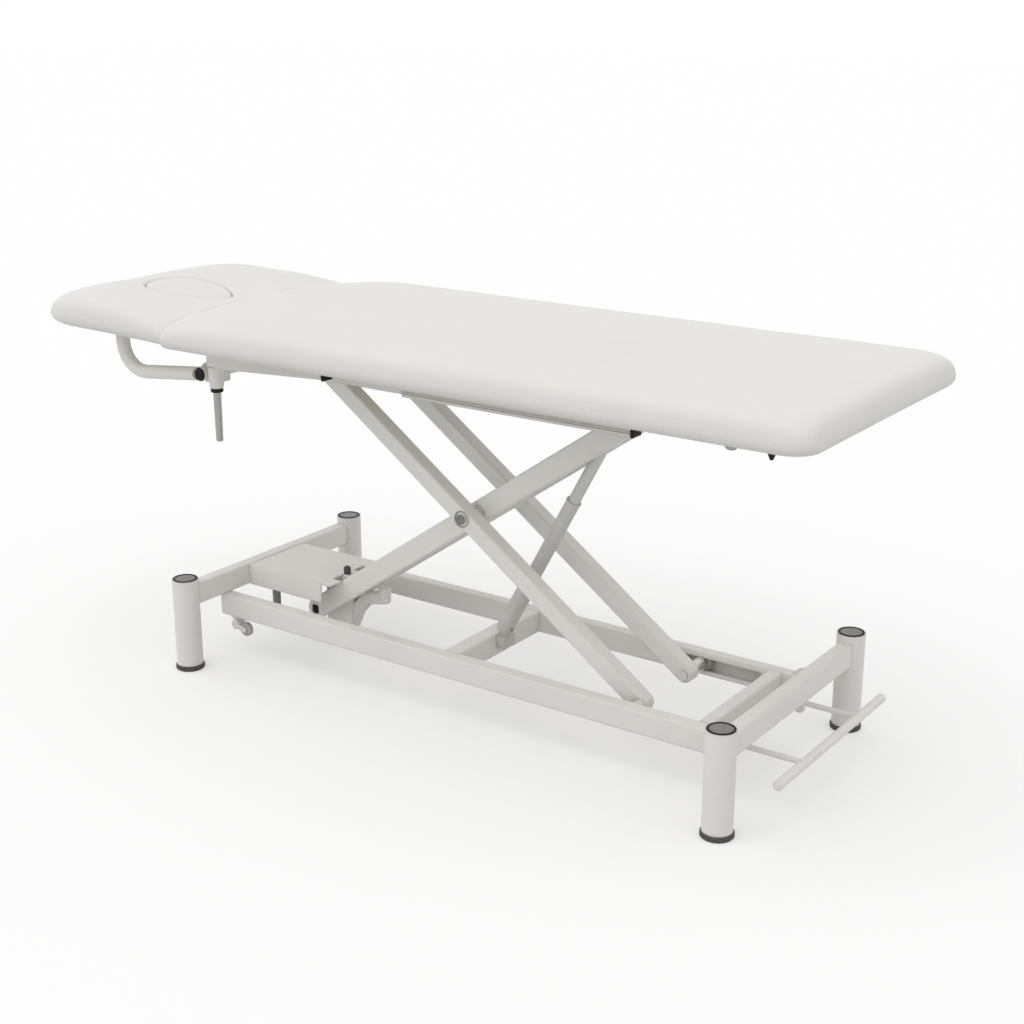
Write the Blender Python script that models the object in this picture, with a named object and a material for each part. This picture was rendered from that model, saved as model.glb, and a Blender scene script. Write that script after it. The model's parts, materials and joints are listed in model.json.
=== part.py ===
"""Height-adjustable massage table: a padded top in two sections on a scissor lift.

Metres, +Z up, +X towards the foot end, -Y towards the near side.
The origin lies on the floor under the middle of the padded top.
"""
import math

import bmesh
import bpy
from mathutils import Matrix, Vector

# Clearances
FIT = 0.0003
SLOT_PLAY = 0.003

# Padded top
TABLE_LENGTH = 1.90
BODY_WIDTH = 0.65
HEAD_WIDTH = 0.605
HEAD_END_WIDTH = 0.560
HEAD_LENGTH = 0.4525
SEAM_GAP = 0.003
PAD_RISE = 0.0665
PAD_LIP = 0.0
BOARD_THICK = 0.0135
BOARD_INSET = 0.026
BODY_HEAD_RADIUS = 0.010
BODY_FOOT_RADIUS = 0.055
HEAD_END_RADIUS = 0.125
HEAD_SEAM_RADIUS = 0.010
SIDE_DRAW = 0.003
SEAM_SHARE = 0.5
CORNER_SPREAD = 0.8
CORNER_LIMIT = 0.75
SEAM_OPENING = 0.10
FACE_LENGTH = 0.240
FACE_WIDTH = 0.154
FACE_TAPER = 0.28
FACE_CENTRE = 0.225
FACE_LEDGE = 0.014
PLUG_PLAY = 0.001

# Base
BASE_X = 0.1375
POST_BEFORE_PIVOT = 0.2105
POST_PAST_RAIL = 0.040
POST_SPACING_Y = 0.542
POST_DIA = 0.057
POST_TOP = 0.206
POST_WALL = 0.0025
CAP_DEPTH = 0.010
CAP_PROUD = 0.0008
PAD_DIA = 0.0625
PAD_THICK = 0.011
TUBE_WALL = 0.0025
TUBE_RADIUS = 0.004
BEAM_WIDE = 0.030
BEAM_TALL = 0.048
RAIL_WIDE = 0.030
RAIL_TALL = 0.048
RAIL_BOTTOM = 0.0945
RAIL_INNER_Y = 0.142
RAIL_UNDER_BEAM = 0.010
RAIL_PAST_PEDAL = 0.024
RAIL_TONGUE = 0.006
MID_CROSS_X = -0.028
MID_CROSS_WIDE = 0.040
CROSS_PAST_ROLLER = 0.04058
TRAY_WIDTH = 0.180
TRAY_SHEET = 0.003
TRAY_DROP = 0.0025
TRAY_PAST_PIVOT = 0.045
TRAY_FLANGE_SHORT = 0.028
TRAY_NOTCH = 0.027
NOTCH_PLAY = 0.002
LUG_THICK = 0.010
LUG_INNER_Y = 0.008
LUG_DROP = 0.055
LUG_HALF = 0.030

# Scissor lift
PIVOT_X = -0.4415
PIVOT_RISE = 0.0115
INNER_ARM_HALF = 0.503
LIFT_ANGLE = math.radians(34.5)
OUTER_ANGLE = math.radians(35.58)
UPPER_SHARE = 0.95
LIFT_UP = math.radians(3.0)
LIFT_DOWN = math.radians(15.5)
OUTER_ARM_TALL = 0.036
OUTER_ARM_WIDE = 0.035
INNER_ARM_TALL = 0.046
INNER_ARM_WIDE = 0.030
ARM_WALL = 0.003
ARM_EDGE_RADIUS = 0.004
INNER_ARM_TAIL = 0.045
TAIL_HOLE_DIA = 0.018
INNER_ARM_Y = 0.020
ARM_GAP = 0.0205
PIN_DIA = 0.014
BOLT_HEAD_DIA = 0.022
BOLT_HEAD_TALL = 0.004
WASHER_DIA = 0.029
WASHER_THICK = 0.0015
SHAFT_DIA = 0.020
ROLLER_PLAY = 0.002
TRACK_SLOT = 0.027
ROLLER_WIDE = 0.018
SPACER_DIA = 0.030

# Lift cylinder
CYLINDER_FOOT_X = 0.006
CYLINDER_FOOT_Z = 0.161
CYLINDER_ANGLE = math.radians(61.4)
BARREL_DIA = 0.0365
BARREL_LOWER_END = 0.110
SLEEVE_DIA = 0.030
SLEEVE_END = 0.336
GLAND_DIA = 0.0315
GLAND_TALL = 0.006
ROD_DIA = 0.0245
ROD_START = 0.170
BARREL_FLOOR = 0.060
BARREL_FOOT = 0.010
TONGUE_WIDE = 0.016
BLOCK_DEEP = 0.022
BLOCK_LOW = 0.116
PIN_IN_FORK = 0.0140
ROD_EYE_DIA = 0.046
ROD_EYE_WIDE = 0.037
ROD_EYE_PLAY = 0.0085

# Top frame
TOP_RAIL_WIDE = 0.032
TOP_RAIL_TALL = 0.052
TOP_RAIL_BELOW_PIVOT = 0.0015
TOP_RAIL_PLAY = 0.001
TOP_RAIL_PAST_PIVOT = 0.0544
TOP_RAIL_PAST_ROLLER = 0.0923
CHORD_TALL = 0.015
CHORD_SHALLOW = 0.0095
CHORD_HEAD = -0.325
CHORD_STEP = -0.1486
CHORD_FOOT = 0.376
SUPPORT_INSET = 0.125
SUPPORT_WIDE = 0.030
SUPPORT_PAST_TILT = 0.029
SUPPORT_LONG = 0.315
SUPPORT_DEEP = 0.052
SUPPORT_SHALLOW = 0.0377
STOP_FROM_END = 0.2005
STOP_DIA = 0.030
STOP_TALL = 0.037
BUMPER_FROM_END = 0.1255
BUMPER_DIA = 0.024
BUMPER_TALL = 0.043

# Head tilt
TILT_DROP = 0.074
HEAD_TUBE_DIA = 0.030
HEAD_TUBE_WALL = 0.0025
HEAD_TUBE_REACH = 0.238
HEAD_TUBE_BEND = 0.060
HEAD_TUBE_SLOPE = math.radians(6)
PIVOT_TUBE_PROUD = 0.0075
CLAMP_RING_DIA = 0.044
CLAMP_RING_WIDE = 0.0235
CLAMP_OFFSET = 0.040
CLAMP_DIA = 0.034
CLAMP_TALL = 0.0465
LEVER_COLLAR_DIA = 0.023
LEVER_COLLAR_TALL = 0.008
LEVER_DIA = 0.017
LEVER_TALL = 0.107

# Foot pedal
PEDAL_PAST_CROSS = 0.035
PEDAL_Z = 0.104
PEDAL_REACH = 0.154
PEDAL_BAR_DIA = 0.018
PEDAL_BAR_LENGTH = 0.456
PEDAL_ROD_DIA = 0.011
PEDAL_ROD_Y = 0.117
PIN_INTO_RAIL = 0.005

# Small castors under the head end of the rails
CASTOR_EYE_X = -0.613
CASTOR_EYE_Z = 0.0745
CASTOR_EYE_DIA = 0.021
CASTOR_WHEEL_X = -0.588
CASTOR_WHEEL_Z = 0.0665
CASTOR_WHEEL_DIA = 0.031
CASTOR_WHEEL_WIDE = 0.013
CASTOR_CHEEK = 0.003
CASTOR_CHEEK_PLAY = 0.0008
CASTOR_AXLE_DIA = 0.006
CASTOR_PLATE = 0.003

# Small fittings on the base
TRAY_STOP_PAST_PIVOT = 0.024
TRAY_STOP_Y = -0.009
TRAY_STOP_DIA = 0.016
TRAY_STOP_TALL = 0.018
BRACKET_WIDE = 0.024
BRACKET_DEEP = 0.026
BRACKET_PATH = ((0.0265, -0.063), (0.0430, -0.025), (0.0755, 0.0105), (0.1220, 0.022))
BUFFER_DIA = 0.027
BUFFER_TALL = 0.037
BUFFER_BELOW = 0.014
TRAY_PEG_PAST_POST = 0.081
TRAY_PEG_Y = -0.075
TRAY_PEG_DIA = 0.018
TRAY_PEG_END = 0.100
PEDAL_TAB_Y = 0.030
PEDAL_TAB_WIDE = 0.022
PEDAL_TAB_DROP = 0.020
PEDAL_TAB_THICK = 0.006

# Mesh fineness
ROUND = 20
SMALL_ROUND = 16
ARC = 6

# An arm's rounded edge: each ring's depth from the side face, and how far its outline draws in
ARM_EDGE = tuple((ARM_EDGE_RADIUS * (1 - math.sin(turn)), ARM_EDGE_RADIUS * (1 - math.cos(turn)))
                 for turn in (math.pi / 2, math.pi / 4, 0.0))

# Derived places
RAIL_TOP = RAIL_BOTTOM + RAIL_TALL
RAIL_Z = RAIL_BOTTOM + RAIL_TALL / 2
PIVOT_Z = RAIL_Z + PIVOT_RISE
BASE_ROLLER_DIA = RAIL_TALL - 2 * TUBE_WALL - 2 * ROLLER_PLAY
BEAM_BOTTOM = RAIL_TOP + FIT
BEAM_TOP = BEAM_BOTTOM + BEAM_TALL
TRAY_TOP = BEAM_TOP - TRAY_DROP
INNER_RISE = INNER_ARM_HALF * math.sin(LIFT_ANGLE)
INNER_RUN = INNER_ARM_HALF * math.cos(LIFT_ANGLE)
OUTER_RISE = INNER_RISE + PIVOT_RISE
OUTER_ARM_HALF = OUTER_RISE / math.sin(OUTER_ANGLE)
OUTER_RUN = OUTER_ARM_HALF * math.cos(OUTER_ANGLE)
TOP_RAIL_Z = PIVOT_Z + INNER_RISE + UPPER_SHARE * OUTER_RISE - TOP_RAIL_BELOW_PIVOT
TOP_ROLLER_LOW = UPPER_SHARE * PIVOT_RISE - TOP_RAIL_BELOW_PIVOT
TOP_ROLLER_DIA = TOP_RAIL_TALL - 2 * (TUBE_WALL + ROLLER_PLAY + TOP_ROLLER_LOW)
BOARD_BOTTOM = TOP_RAIL_Z + TOP_RAIL_TALL / 2 + FIT
BOARD_TOP = BOARD_BOTTOM + BOARD_THICK
INNER_ARM_OUT = INNER_ARM_Y + INNER_ARM_WIDE
OUTER_ARM_Y = INNER_ARM_OUT + ARM_GAP
OUTER_ARM_OUT = OUTER_ARM_Y + OUTER_ARM_WIDE
TOP_RAIL_Y = OUTER_ARM_OUT + TOP_RAIL_PLAY
HEAD_END = -TABLE_LENGTH / 2
FOOT_END = TABLE_LENGTH / 2
SEAM_X = HEAD_END + HEAD_LENGTH
TILT_X = SEAM_X
TILT_Z = BOARD_BOTTOM - TILT_DROP
FACE_X = HEAD_END + FACE_CENTRE
SUPPORT_Y = BODY_WIDTH / 2 - SUPPORT_INSET


def at(offset):
    """X in the part's frame of a place given from the middle of the base."""
    return BASE_X + offset


def roller_run():
    """How far a base roller stands from the fixed pivot at the highest and the lowest lift."""
    distances = []
    for angle in (LIFT_ANGLE + LIFT_UP, LIFT_ANGLE - LIFT_DOWN):
        rise = INNER_ARM_HALF * math.sin(angle) + PIVOT_RISE
        outer = math.asin(rise / OUTER_ARM_HALF)
        distances.append(INNER_ARM_HALF * math.cos(angle) + OUTER_ARM_HALF * math.cos(outer))
    return distances


LOWER_PIVOT = Vector((at(PIVOT_X), 0, PIVOT_Z))
CENTRE_PIVOT = LOWER_PIVOT + Vector((INNER_RUN, 0, INNER_RISE))
LOWER_ROLLER = CENTRE_PIVOT + Vector((OUTER_RUN, 0, -OUTER_RISE))
UPPER_PIVOT = CENTRE_PIVOT + UPPER_SHARE * (CENTRE_PIVOT - LOWER_ROLLER)
UPPER_ROLLER = CENTRE_PIVOT + UPPER_SHARE * (CENTRE_PIVOT - LOWER_PIVOT)
CYLINDER_FOOT = Vector((at(CYLINDER_FOOT_X), 0, CYLINDER_FOOT_Z))
CYLINDER_AXIS = Vector((math.cos(CYLINDER_ANGLE), 0, math.sin(CYLINDER_ANGLE)))
TILT_AXIS = Vector((TILT_X, 0, TILT_Z))
ROLLER_LIMITS = [LOWER_PIVOT.x + distance for distance in roller_run()]
TOP_ROLLER_LIMITS = [UPPER_PIVOT.x + UPPER_SHARE * distance for distance in roller_run()]
END_CROSS_X = ROLLER_LIMITS[1] + CROSS_PAST_ROLLER
PEDAL_AXIS = Vector((END_CROSS_X + PEDAL_PAST_CROSS, 0, PEDAL_Z))
RAIL_FOOT = PEDAL_AXIS.x + RAIL_PAST_PEDAL
POST_X = {"head": LOWER_PIVOT.x - POST_BEFORE_PIVOT, "foot": RAIL_FOOT + POST_PAST_RAIL}
CASTOR_EYE = Vector((at(CASTOR_EYE_X), 0, CASTOR_EYE_Z))
CASTOR_WHEEL = Vector((at(CASTOR_WHEEL_X), 0, CASTOR_WHEEL_Z))


def cylinder_head():
    """Where the cylinder's axis meets the inner arms' centre line."""
    slope = math.tan(LIFT_ANGLE)
    rise = math.tan(CYLINDER_ANGLE)
    gap = CYLINDER_FOOT - LOWER_PIVOT
    run = (gap.z - rise * gap.x) / (slope - rise)
    return LOWER_PIVOT + Vector((run, 0, slope * run))


CYLINDER_HEAD = cylinder_head()
CYLINDER_LENGTH = (CYLINDER_HEAD - CYLINDER_FOOT).length

MATERIALS = {
    "powder_coat": ((0.72, 0.71, 0.68), 0.45, 0.0),
    "vinyl": ((0.86, 0.85, 0.82), 0.50, 0.0),
    "plywood": ((0.55, 0.42, 0.28), 0.70, 0.0),
    "grey_plastic": ((0.25, 0.25, 0.24), 0.55, 0.0),
    "black_plastic": ((0.02, 0.02, 0.02), 0.50, 0.0),
    "rubber": ((0.10, 0.10, 0.10), 0.80, 0.0),
    "zinc": ((0.50, 0.50, 0.49), 0.40, 0.9),
    "nylon": ((0.75, 0.74, 0.70), 0.60, 0.0),
    "cylinder_grey": ((0.42, 0.41, 0.39), 0.40, 0.3),
}


def clear_scene():
    for obj in list(bpy.data.objects):
        bpy.data.objects.remove(obj, do_unlink=True)


def material(kind, name):
    colour, roughness, metallic = MATERIALS[kind]
    mat = bpy.data.materials.new(name + "_finish")
    mat.use_nodes = True
    shader = mat.node_tree.nodes["Principled BSDF"]
    shader.inputs["Base Color"].default_value = (*colour, 1.0)
    shader.inputs["Roughness"].default_value = roughness
    shader.inputs["Metallic"].default_value = metallic
    return mat


def joint_empty(name, place):
    """An empty on a joint's axis, which carries the pieces that turn there."""
    empty = bpy.data.objects.new(name, None)
    empty.location = place
    bpy.context.collection.objects.link(empty)
    return empty


def finish(name, bm, kind, carrier=None, smooth=30):
    """Turn a bmesh in the part's frame into a named object on its carrier."""
    bmesh.ops.remove_doubles(bm, verts=bm.verts, dist=1e-6)
    bmesh.ops.recalc_face_normals(bm, faces=bm.faces)
    mesh = bpy.data.meshes.new(name)
    if carrier is not None:
        bmesh.ops.translate(bm, verts=bm.verts, vec=-carrier.location)
    bm.to_mesh(mesh)
    bm.free()
    mesh.shade_smooth()
    mesh.set_sharp_from_angle(angle=math.radians(smooth))
    mesh.materials.append(material(kind, name))
    obj = bpy.data.objects.new(name, mesh)
    obj.parent = carrier
    bpy.context.collection.objects.link(obj)
    return obj


def boolean(obj, bm, operation, name):
    """Cut a shape out of an object, or join it on, with a hidden helper."""
    helper = finish(name, bm, "zinc", obj.parent)
    helper.hide_render = True
    helper.display_type = "WIRE"
    modifier = obj.modifiers.new(name, "BOOLEAN")
    modifier.operation = operation
    modifier.solver = "EXACT"
    modifier.object = helper
    return obj


def cut(obj, bm):
    return boolean(obj, bm, "DIFFERENCE", obj.name + "_cut")


def join(obj, bm):
    return boolean(obj, bm, "UNION", obj.name + "_join")


def box(low, high, bevel=0.0):
    bm = bmesh.new()
    size = Vector(high) - Vector(low)
    middle = (Vector(high) + Vector(low)) / 2
    matrix = Matrix.Translation(middle) @ Matrix.Diagonal((*size, 1.0))
    bmesh.ops.create_cube(bm, size=1.0, matrix=matrix)
    if bevel:
        bmesh.ops.bevel(bm, geom=bm.edges[:], offset=bevel, segments=1, affect="EDGES")
    return bm


def loft(rings):
    """A closed skin over rings of equal count, with flat ends."""
    bm = bmesh.new()
    loops = [[bm.verts.new(point) for point in ring] for ring in rings]
    count = len(loops[0])
    for low, high in zip(loops, loops[1:]):
        for i in range(count):
            j = (i + 1) % count
            bm.faces.new((low[i], low[j], high[j], high[i]))
    bm.faces.new(reversed(loops[0]))
    bm.faces.new(loops[-1])
    return bm


def ring_loft(rings):
    """A closed skin over rings whose last meets the first again, as a tube's walls do."""
    bm = bmesh.new()
    loops = [[bm.verts.new(point) for point in ring] for ring in rings]
    count = len(loops[0])
    for low, high in zip(loops, loops[1:] + loops[:1]):
        for i in range(count):
            j = (i + 1) % count
            bm.faces.new((low[i], low[j], high[j], high[i]))
    return bm


def rounded(wide, tall, radius):
    """Points of a rounded rectangle about the origin."""
    points = []
    steps = 3
    for corner in range(4):
        sx = 1 if corner in (0, 3) else -1
        sy = 1 if corner in (0, 1) else -1
        for step in range(steps + 1):
            angle = math.pi / 2 * (corner + step / steps)
            points.append((sx * (wide / 2 - radius) + radius * math.cos(angle),
                           sy * (tall / 2 - radius) + radius * math.sin(angle)))
    return points


def square_tube(axis, start, end, middle, wide, tall, wall=TUBE_WALL, radius=TUBE_RADIUS, closed=False):
    """A square tube along X or Y, open at both ends or closed with thin end walls."""
    def ring(points, along):
        if axis == "X":
            return [(along, middle[0] + p, middle[1] + q) for p, q in points]
        return [(middle[0] + p, along, middle[1] + q) for p, q in points]

    outside = rounded(wide, tall, radius)
    if closed:
        return loft([ring(outside, start), ring(outside, end)])
    inside = rounded(wide - 2 * wall, tall - 2 * wall, radius - wall / 2)
    return ring_loft([ring(outside, start), ring(outside, end), ring(inside, end), ring(inside, start)])


def turned(profile, place, direction, steps=ROUND):
    """A turned solid. The profile is (distance along, radius) pairs.

    It starts and ends on the axis, or else its last point joins its first round a bore.
    """
    axis = Vector(direction).normalized()
    side = axis.orthogonal().normalized()
    other = axis.cross(side)
    bm = bmesh.new()
    loops = []
    for along, radius in profile:
        centre = Vector(place) + axis * along
        if radius < 1e-9:
            loops.append([bm.verts.new(centre)])
            continue
        ring = []
        for i in range(steps):
            angle = 2 * math.pi * i / steps
            ring.append(bm.verts.new(centre + radius * (math.cos(angle) * side + math.sin(angle) * other)))
        loops.append(ring)
    pairs = list(zip(loops, loops[1:]))
    if len(loops[0]) > 1:
        pairs.append((loops[-1], loops[0]))
    for low, high in pairs:
        bridge(bm, low, high, steps)
    return bm


def bridge(bm, low, high, steps):
    for i in range(steps):
        j = (i + 1) % steps
        if len(low) == 1:
            bm.faces.new((low[0], high[j], high[i]))
        elif len(high) == 1:
            bm.faces.new((low[i], low[j], high[0]))
        else:
            bm.faces.new((low[i], low[j], high[j], high[i]))


def rod(start, end, radius, chamfer=0.0, steps=ROUND):
    """A plain round bar between two points, with small end chamfers."""
    start, end = Vector(start), Vector(end)
    length = (end - start).length
    profile = [(0, 0), (0, radius - chamfer), (chamfer, radius)]
    profile += [(length - chamfer, radius), (length, radius - chamfer), (length, 0)]
    if not chamfer:
        profile = [(0, 0), (0, radius), (length, radius), (length, 0)]
    return turned(profile, start, end - start, steps)


def pipe(start, end, radius, bore, steps=ROUND):
    start, end = Vector(start), Vector(end)
    length = (end - start).length
    profile = [(0, bore), (0, radius), (length, radius), (length, bore)]
    return turned(profile, start, end - start, steps)


def across(place, y0, y1, radius, steps=ROUND, chamfer=0.0):
    """A round bar along Y through a place."""
    return rod((place.x, y0, place.z), (place.x, y1, place.z), radius, chamfer, steps)


def prism(outline, y0, y1):
    """An outline of (x, z) points pushed along Y."""
    return loft([[(x, y0, z) for x, z in outline], [(x, y1, z) for x, z in outline]])


def capsule(start, end, radius_start, radius_end, steps=ARC):
    """An (x, z) outline with round ends about two places."""
    direction = Vector((end.x - start.x, end.z - start.z))
    base = math.atan2(direction.y, direction.x)
    points = []
    for centre, radius, turn in ((end, radius_end, -math.pi / 2), (start, radius_start, math.pi / 2)):
        for i in range(steps + 1):
            angle = base + turn + math.pi * i / steps
            points.append((centre.x + radius * math.cos(angle), centre.z + radius * math.sin(angle)))
    return points


def spread(y, wide, side):
    """The two Y limits of a piece that starts at y and lies outwards on one side."""
    return sorted((side * y, side * (y + wide)))


SIDES = (("near", -1), ("far", 1))


def build_posts():
    radius = POST_DIA / 2
    bore = radius - POST_WALL
    for end, x in POST_X.items():
        for side, sy in SIDES:
            y = sy * POST_SPACING_Y / 2
            post = pipe((x, y, PAD_THICK + FIT), (x, y, POST_TOP), radius, bore, 32)
            finish(f"post_{end}_{side}", post, "powder_coat")
            half = PAD_DIA / 2
            foot = [(0, 0), (0, half - 0.002), (0.002, half), (PAD_THICK - 0.002, half),
                    (PAD_THICK, half - 0.002), (PAD_THICK, 0)]
            finish(f"foot_pad_{end}_{side}", turned(foot, (x, y, 0), (0, 0, 1), 32), "rubber")
            rim = bore - FIT
            top = CAP_DEPTH + CAP_PROUD
            profile = [(0, 0), (0, rim), (CAP_DEPTH, rim), (top, rim - 0.003), (top, 0)]
            cap = turned(profile, (x, y, POST_TOP - CAP_DEPTH), (0, 0, 1), 32)
            finish(f"post_cap_{end}_{side}", cap, "grey_plastic")


def coped(obj, x):
    """Cut both ends of a cross beam to the round of its posts."""
    for _, sy in SIDES:
        y = sy * POST_SPACING_Y / 2
        cut(obj, rod((x, y, 0), (x, y, POST_TOP + PAD_DIA), POST_DIA / 2 + FIT, steps=32))
    return obj


def build_beams():
    for end, x in POST_X.items():
        reach = POST_SPACING_Y / 2
        tube = square_tube("Y", -reach, reach, (x, BEAM_BOTTOM + BEAM_TALL / 2), BEAM_WIDE, BEAM_TALL)
        beam = coped(finish(f"{end}_beam", tube, "powder_coat"), x)
        if end == "foot":
            join(beam, pedal_tab(x))


def pedal_tab(x):
    """A small rounded tab welded under the foot beam."""
    top = Vector((x + PEDAL_TAB_WIDE / 4, 0, BEAM_BOTTOM + TUBE_WALL / 2))
    low = top - Vector((0, 0, PEDAL_TAB_DROP - PEDAL_TAB_WIDE / 2))
    outline = capsule(low, top, PEDAL_TAB_WIDE / 2, TUBE_WALL / 2)
    return prism(outline, PEDAL_TAB_Y, PEDAL_TAB_Y + PEDAL_TAB_THICK)


def track(x_limits, run, y, side, middle, axis, size, slot_half, wall=TUBE_WALL):
    """The hollow inside a rail and the slot in its inner wall, for a roller and its axle."""
    wide, tall = size
    y0, y1 = spread(y + wall, wide - 2 * wall, side)
    hollow = box((x_limits[0], y0, middle - tall / 2 + wall), (x_limits[1], y1, middle + tall / 2 - wall))
    end = PIN_DIA / 2 + SLOT_PLAY
    y0, y1 = spread(y - wall, 3 * wall, side)
    slot = box((run[0] - end, y0, axis - slot_half), (run[1] + end, y1, axis + slot_half))
    return hollow, slot


def wall_hole(place, y, side, wall=TUBE_WALL, dia=PIN_DIA):
    y0, y1 = spread(y - wall, 3 * wall, side)
    return across(place, y0, y1, dia / 2 + FIT, SMALL_ROUND)


def build_rails():
    """The two long rails: C-tracks for the arms' rollers, with a tongue up to the foot beam."""
    start = POST_X["head"] + BEAM_WIDE / 2 - RAIL_UNDER_BEAM
    stop = RAIL_FOOT
    size = (RAIL_WIDE, RAIL_TALL)
    for side, sy in SIDES:
        y = sy * (RAIL_INNER_Y + RAIL_WIDE / 2)
        tube = square_tube("X", start, stop, (y, RAIL_Z), RAIL_WIDE, RAIL_TALL, closed=True)
        rail = finish(f"rail_{side}", tube, "powder_coat")
        join(rail, prism(tongue_outline(stop), y - RAIL_TONGUE / 2, y + RAIL_TONGUE / 2))
        limits = (start + TUBE_WALL, stop - TUBE_WALL)
        for shape in track(limits, ROLLER_LIMITS, RAIL_INNER_Y, sy, RAIL_Z, RAIL_Z, size, TRACK_SLOT / 2):
            cut(rail, shape)
        cut(rail, wall_hole(PEDAL_AXIS, RAIL_INNER_Y, sy))


def tongue_outline(stop):
    """A plate on a rail's foot end that reaches the inner face of the foot beam."""
    face = POST_X["foot"] - BEAM_WIDE / 2 - FIT
    low = RAIL_TOP - TUBE_WALL / 2
    return [(stop - RAIL_WIDE, low), (face, low), (face, BEAM_BOTTOM + BEAM_TALL / 2),
            (stop - RAIL_WIDE / 2, BEAM_BOTTOM + BEAM_TALL / 4)]


def build_cross_members():
    reach = RAIL_INNER_Y - FIT
    for name, x, wide in (("mid_cross_member", at(MID_CROSS_X), MID_CROSS_WIDE),
                          ("end_cross_member", END_CROSS_X, RAIL_WIDE)):
        tube = square_tube("Y", -reach, reach, (x, RAIL_Z), wide, RAIL_TALL)
        finish(name, tube, "powder_coat")


def build_clevis():
    """A block on the mid cross member's face, with the tongue and pin that the cylinder's fork turns on."""
    face = at(MID_CROSS_X + MID_CROSS_WIDE / 2) + FIT
    half = BARREL_DIA / 2
    top = CYLINDER_FOOT.z - math.hypot(BARREL_FOOT, half) - SLOT_PLAY / 2
    block = box((face, -half, BLOCK_LOW), (face + BLOCK_DEEP, half, top))
    clevis = finish("cylinder_clevis", block, "cylinder_grey")
    low = Vector((face + BLOCK_DEEP / 2, 0, top - PIN_DIA))
    tongue = capsule(low, CYLINDER_FOOT, BLOCK_DEEP / 3, PIN_DIA * 0.8)
    join(clevis, prism(tongue, -TONGUE_WIDE / 2, TONGUE_WIDE / 2))
    join(clevis, across(CYLINDER_FOOT, -PIN_IN_FORK, PIN_IN_FORK, PIN_DIA / 2, SMALL_ROUND))


def build_tray():
    """A folded sheet tray between the head beam and the fixed pivot, with the pivot's lugs."""
    start = POST_X["head"] + BEAM_WIDE / 2 + FIT
    stop = LOWER_PIVOT.x + TRAY_PAST_PIVOT
    half = TRAY_WIDTH / 2
    tray = finish("tray", box((start, -half, TRAY_TOP - TRAY_SHEET), (stop, half, TRAY_TOP)), "powder_coat")
    inside = TRAY_TOP - TRAY_SHEET / 2
    for _, sy in SIDES:
        y0, y1 = spread(half - TRAY_SHEET, TRAY_SHEET, sy)
        join(tray, box((start, y0, BEAM_BOTTOM), (stop - TRAY_FLANGE_SHORT, y1, inside)))
        y0, y1 = spread(LUG_INNER_Y, LUG_THICK, sy)
        low = LOWER_PIVOT.z - LUG_DROP
        join(tray, box((LOWER_PIVOT.x - LUG_HALF, y0, low), (stop - TRAY_SHEET, y1, inside)))
    for shape in rest_bracket():
        join(tray, shape)
    for _, sy in SIDES:
        y0, y1 = spread(INNER_ARM_Y - NOTCH_PLAY, INNER_ARM_WIDE + 2 * NOTCH_PLAY, sy)
        low = (stop - TRAY_NOTCH, y0, TRAY_TOP - 2 * TRAY_SHEET)
        cut(tray, box(low, (stop + FIT, y1, TRAY_TOP + TRAY_SHEET)))
    reach = LUG_INNER_Y + 2 * LUG_THICK
    cut(tray, across(LOWER_PIVOT, -reach, reach, SHAFT_DIA / 2 + FIT))


def rest_bracket():
    """A bent bar from between the lugs, and the round buffer on its end."""
    path = [LOWER_PIVOT + Vector((x, 0, z)) for x, z in BRACKET_PATH]
    bar = prism(ribbon(path, BRACKET_DEEP / 2), -BRACKET_WIDE / 2, BRACKET_WIDE / 2)
    radius = BUFFER_DIA / 2
    soft = radius / 3
    profile = [(0, 0), (0, radius - soft), (soft, radius), (BUFFER_TALL - soft, radius),
               (BUFFER_TALL, radius - soft), (BUFFER_TALL, 0)]
    return bar, turned(profile, path[-1] - Vector((0, 0, BUFFER_BELOW)), (0, 0, 1), SMALL_ROUND)


def ribbon(path, half):
    """The outline, in a plane of constant Y, of a bar of even depth along a bent path."""
    left, right = [], []
    for i, point in enumerate(path):
        tangent = (path[min(i + 1, len(path) - 1)] - path[max(i - 1, 0)]).normalized()
        normal = Vector((-tangent.z, 0, tangent.x))
        left.append(((point + half * normal).x, (point + half * normal).z))
        right.append(((point - half * normal).x, (point - half * normal).z))
    return left + right[::-1]


def build_lower_shaft():
    """The shaft in the tray's lugs that the inner arms turn on. Its ends lie inside the arms."""
    reach = INNER_ARM_Y + INNER_ARM_WIDE / 2
    finish("lower_pivot_shaft", across(LOWER_PIVOT, -reach, reach, SHAFT_DIA / 2, chamfer=0.001), "zinc")


def build_tray_fittings():
    """The rubber stop that stands on the tray, and the peg that hangs under it."""
    place = (LOWER_PIVOT.x + TRAY_STOP_PAST_PIVOT, TRAY_STOP_Y, TRAY_TOP + FIT)
    half = TRAY_STOP_DIA / 2
    tall = TRAY_STOP_TALL
    profile = [(0, 0), (0, half), (tall - half / 2, half), (tall, half / 2), (tall, 0)]
    finish("tray_stop", turned(profile, place, (0, 0, 1), SMALL_ROUND), "rubber")
    peg_x = POST_X["head"] + TRAY_PEG_PAST_POST
    top = (peg_x, TRAY_PEG_Y, TRAY_TOP - TRAY_SHEET - FIT)
    low = (peg_x, TRAY_PEG_Y, TRAY_PEG_END)
    finish("tray_peg", rod(top, low, TRAY_PEG_DIA / 2, 0.001, SMALL_ROUND), "rubber")


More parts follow.
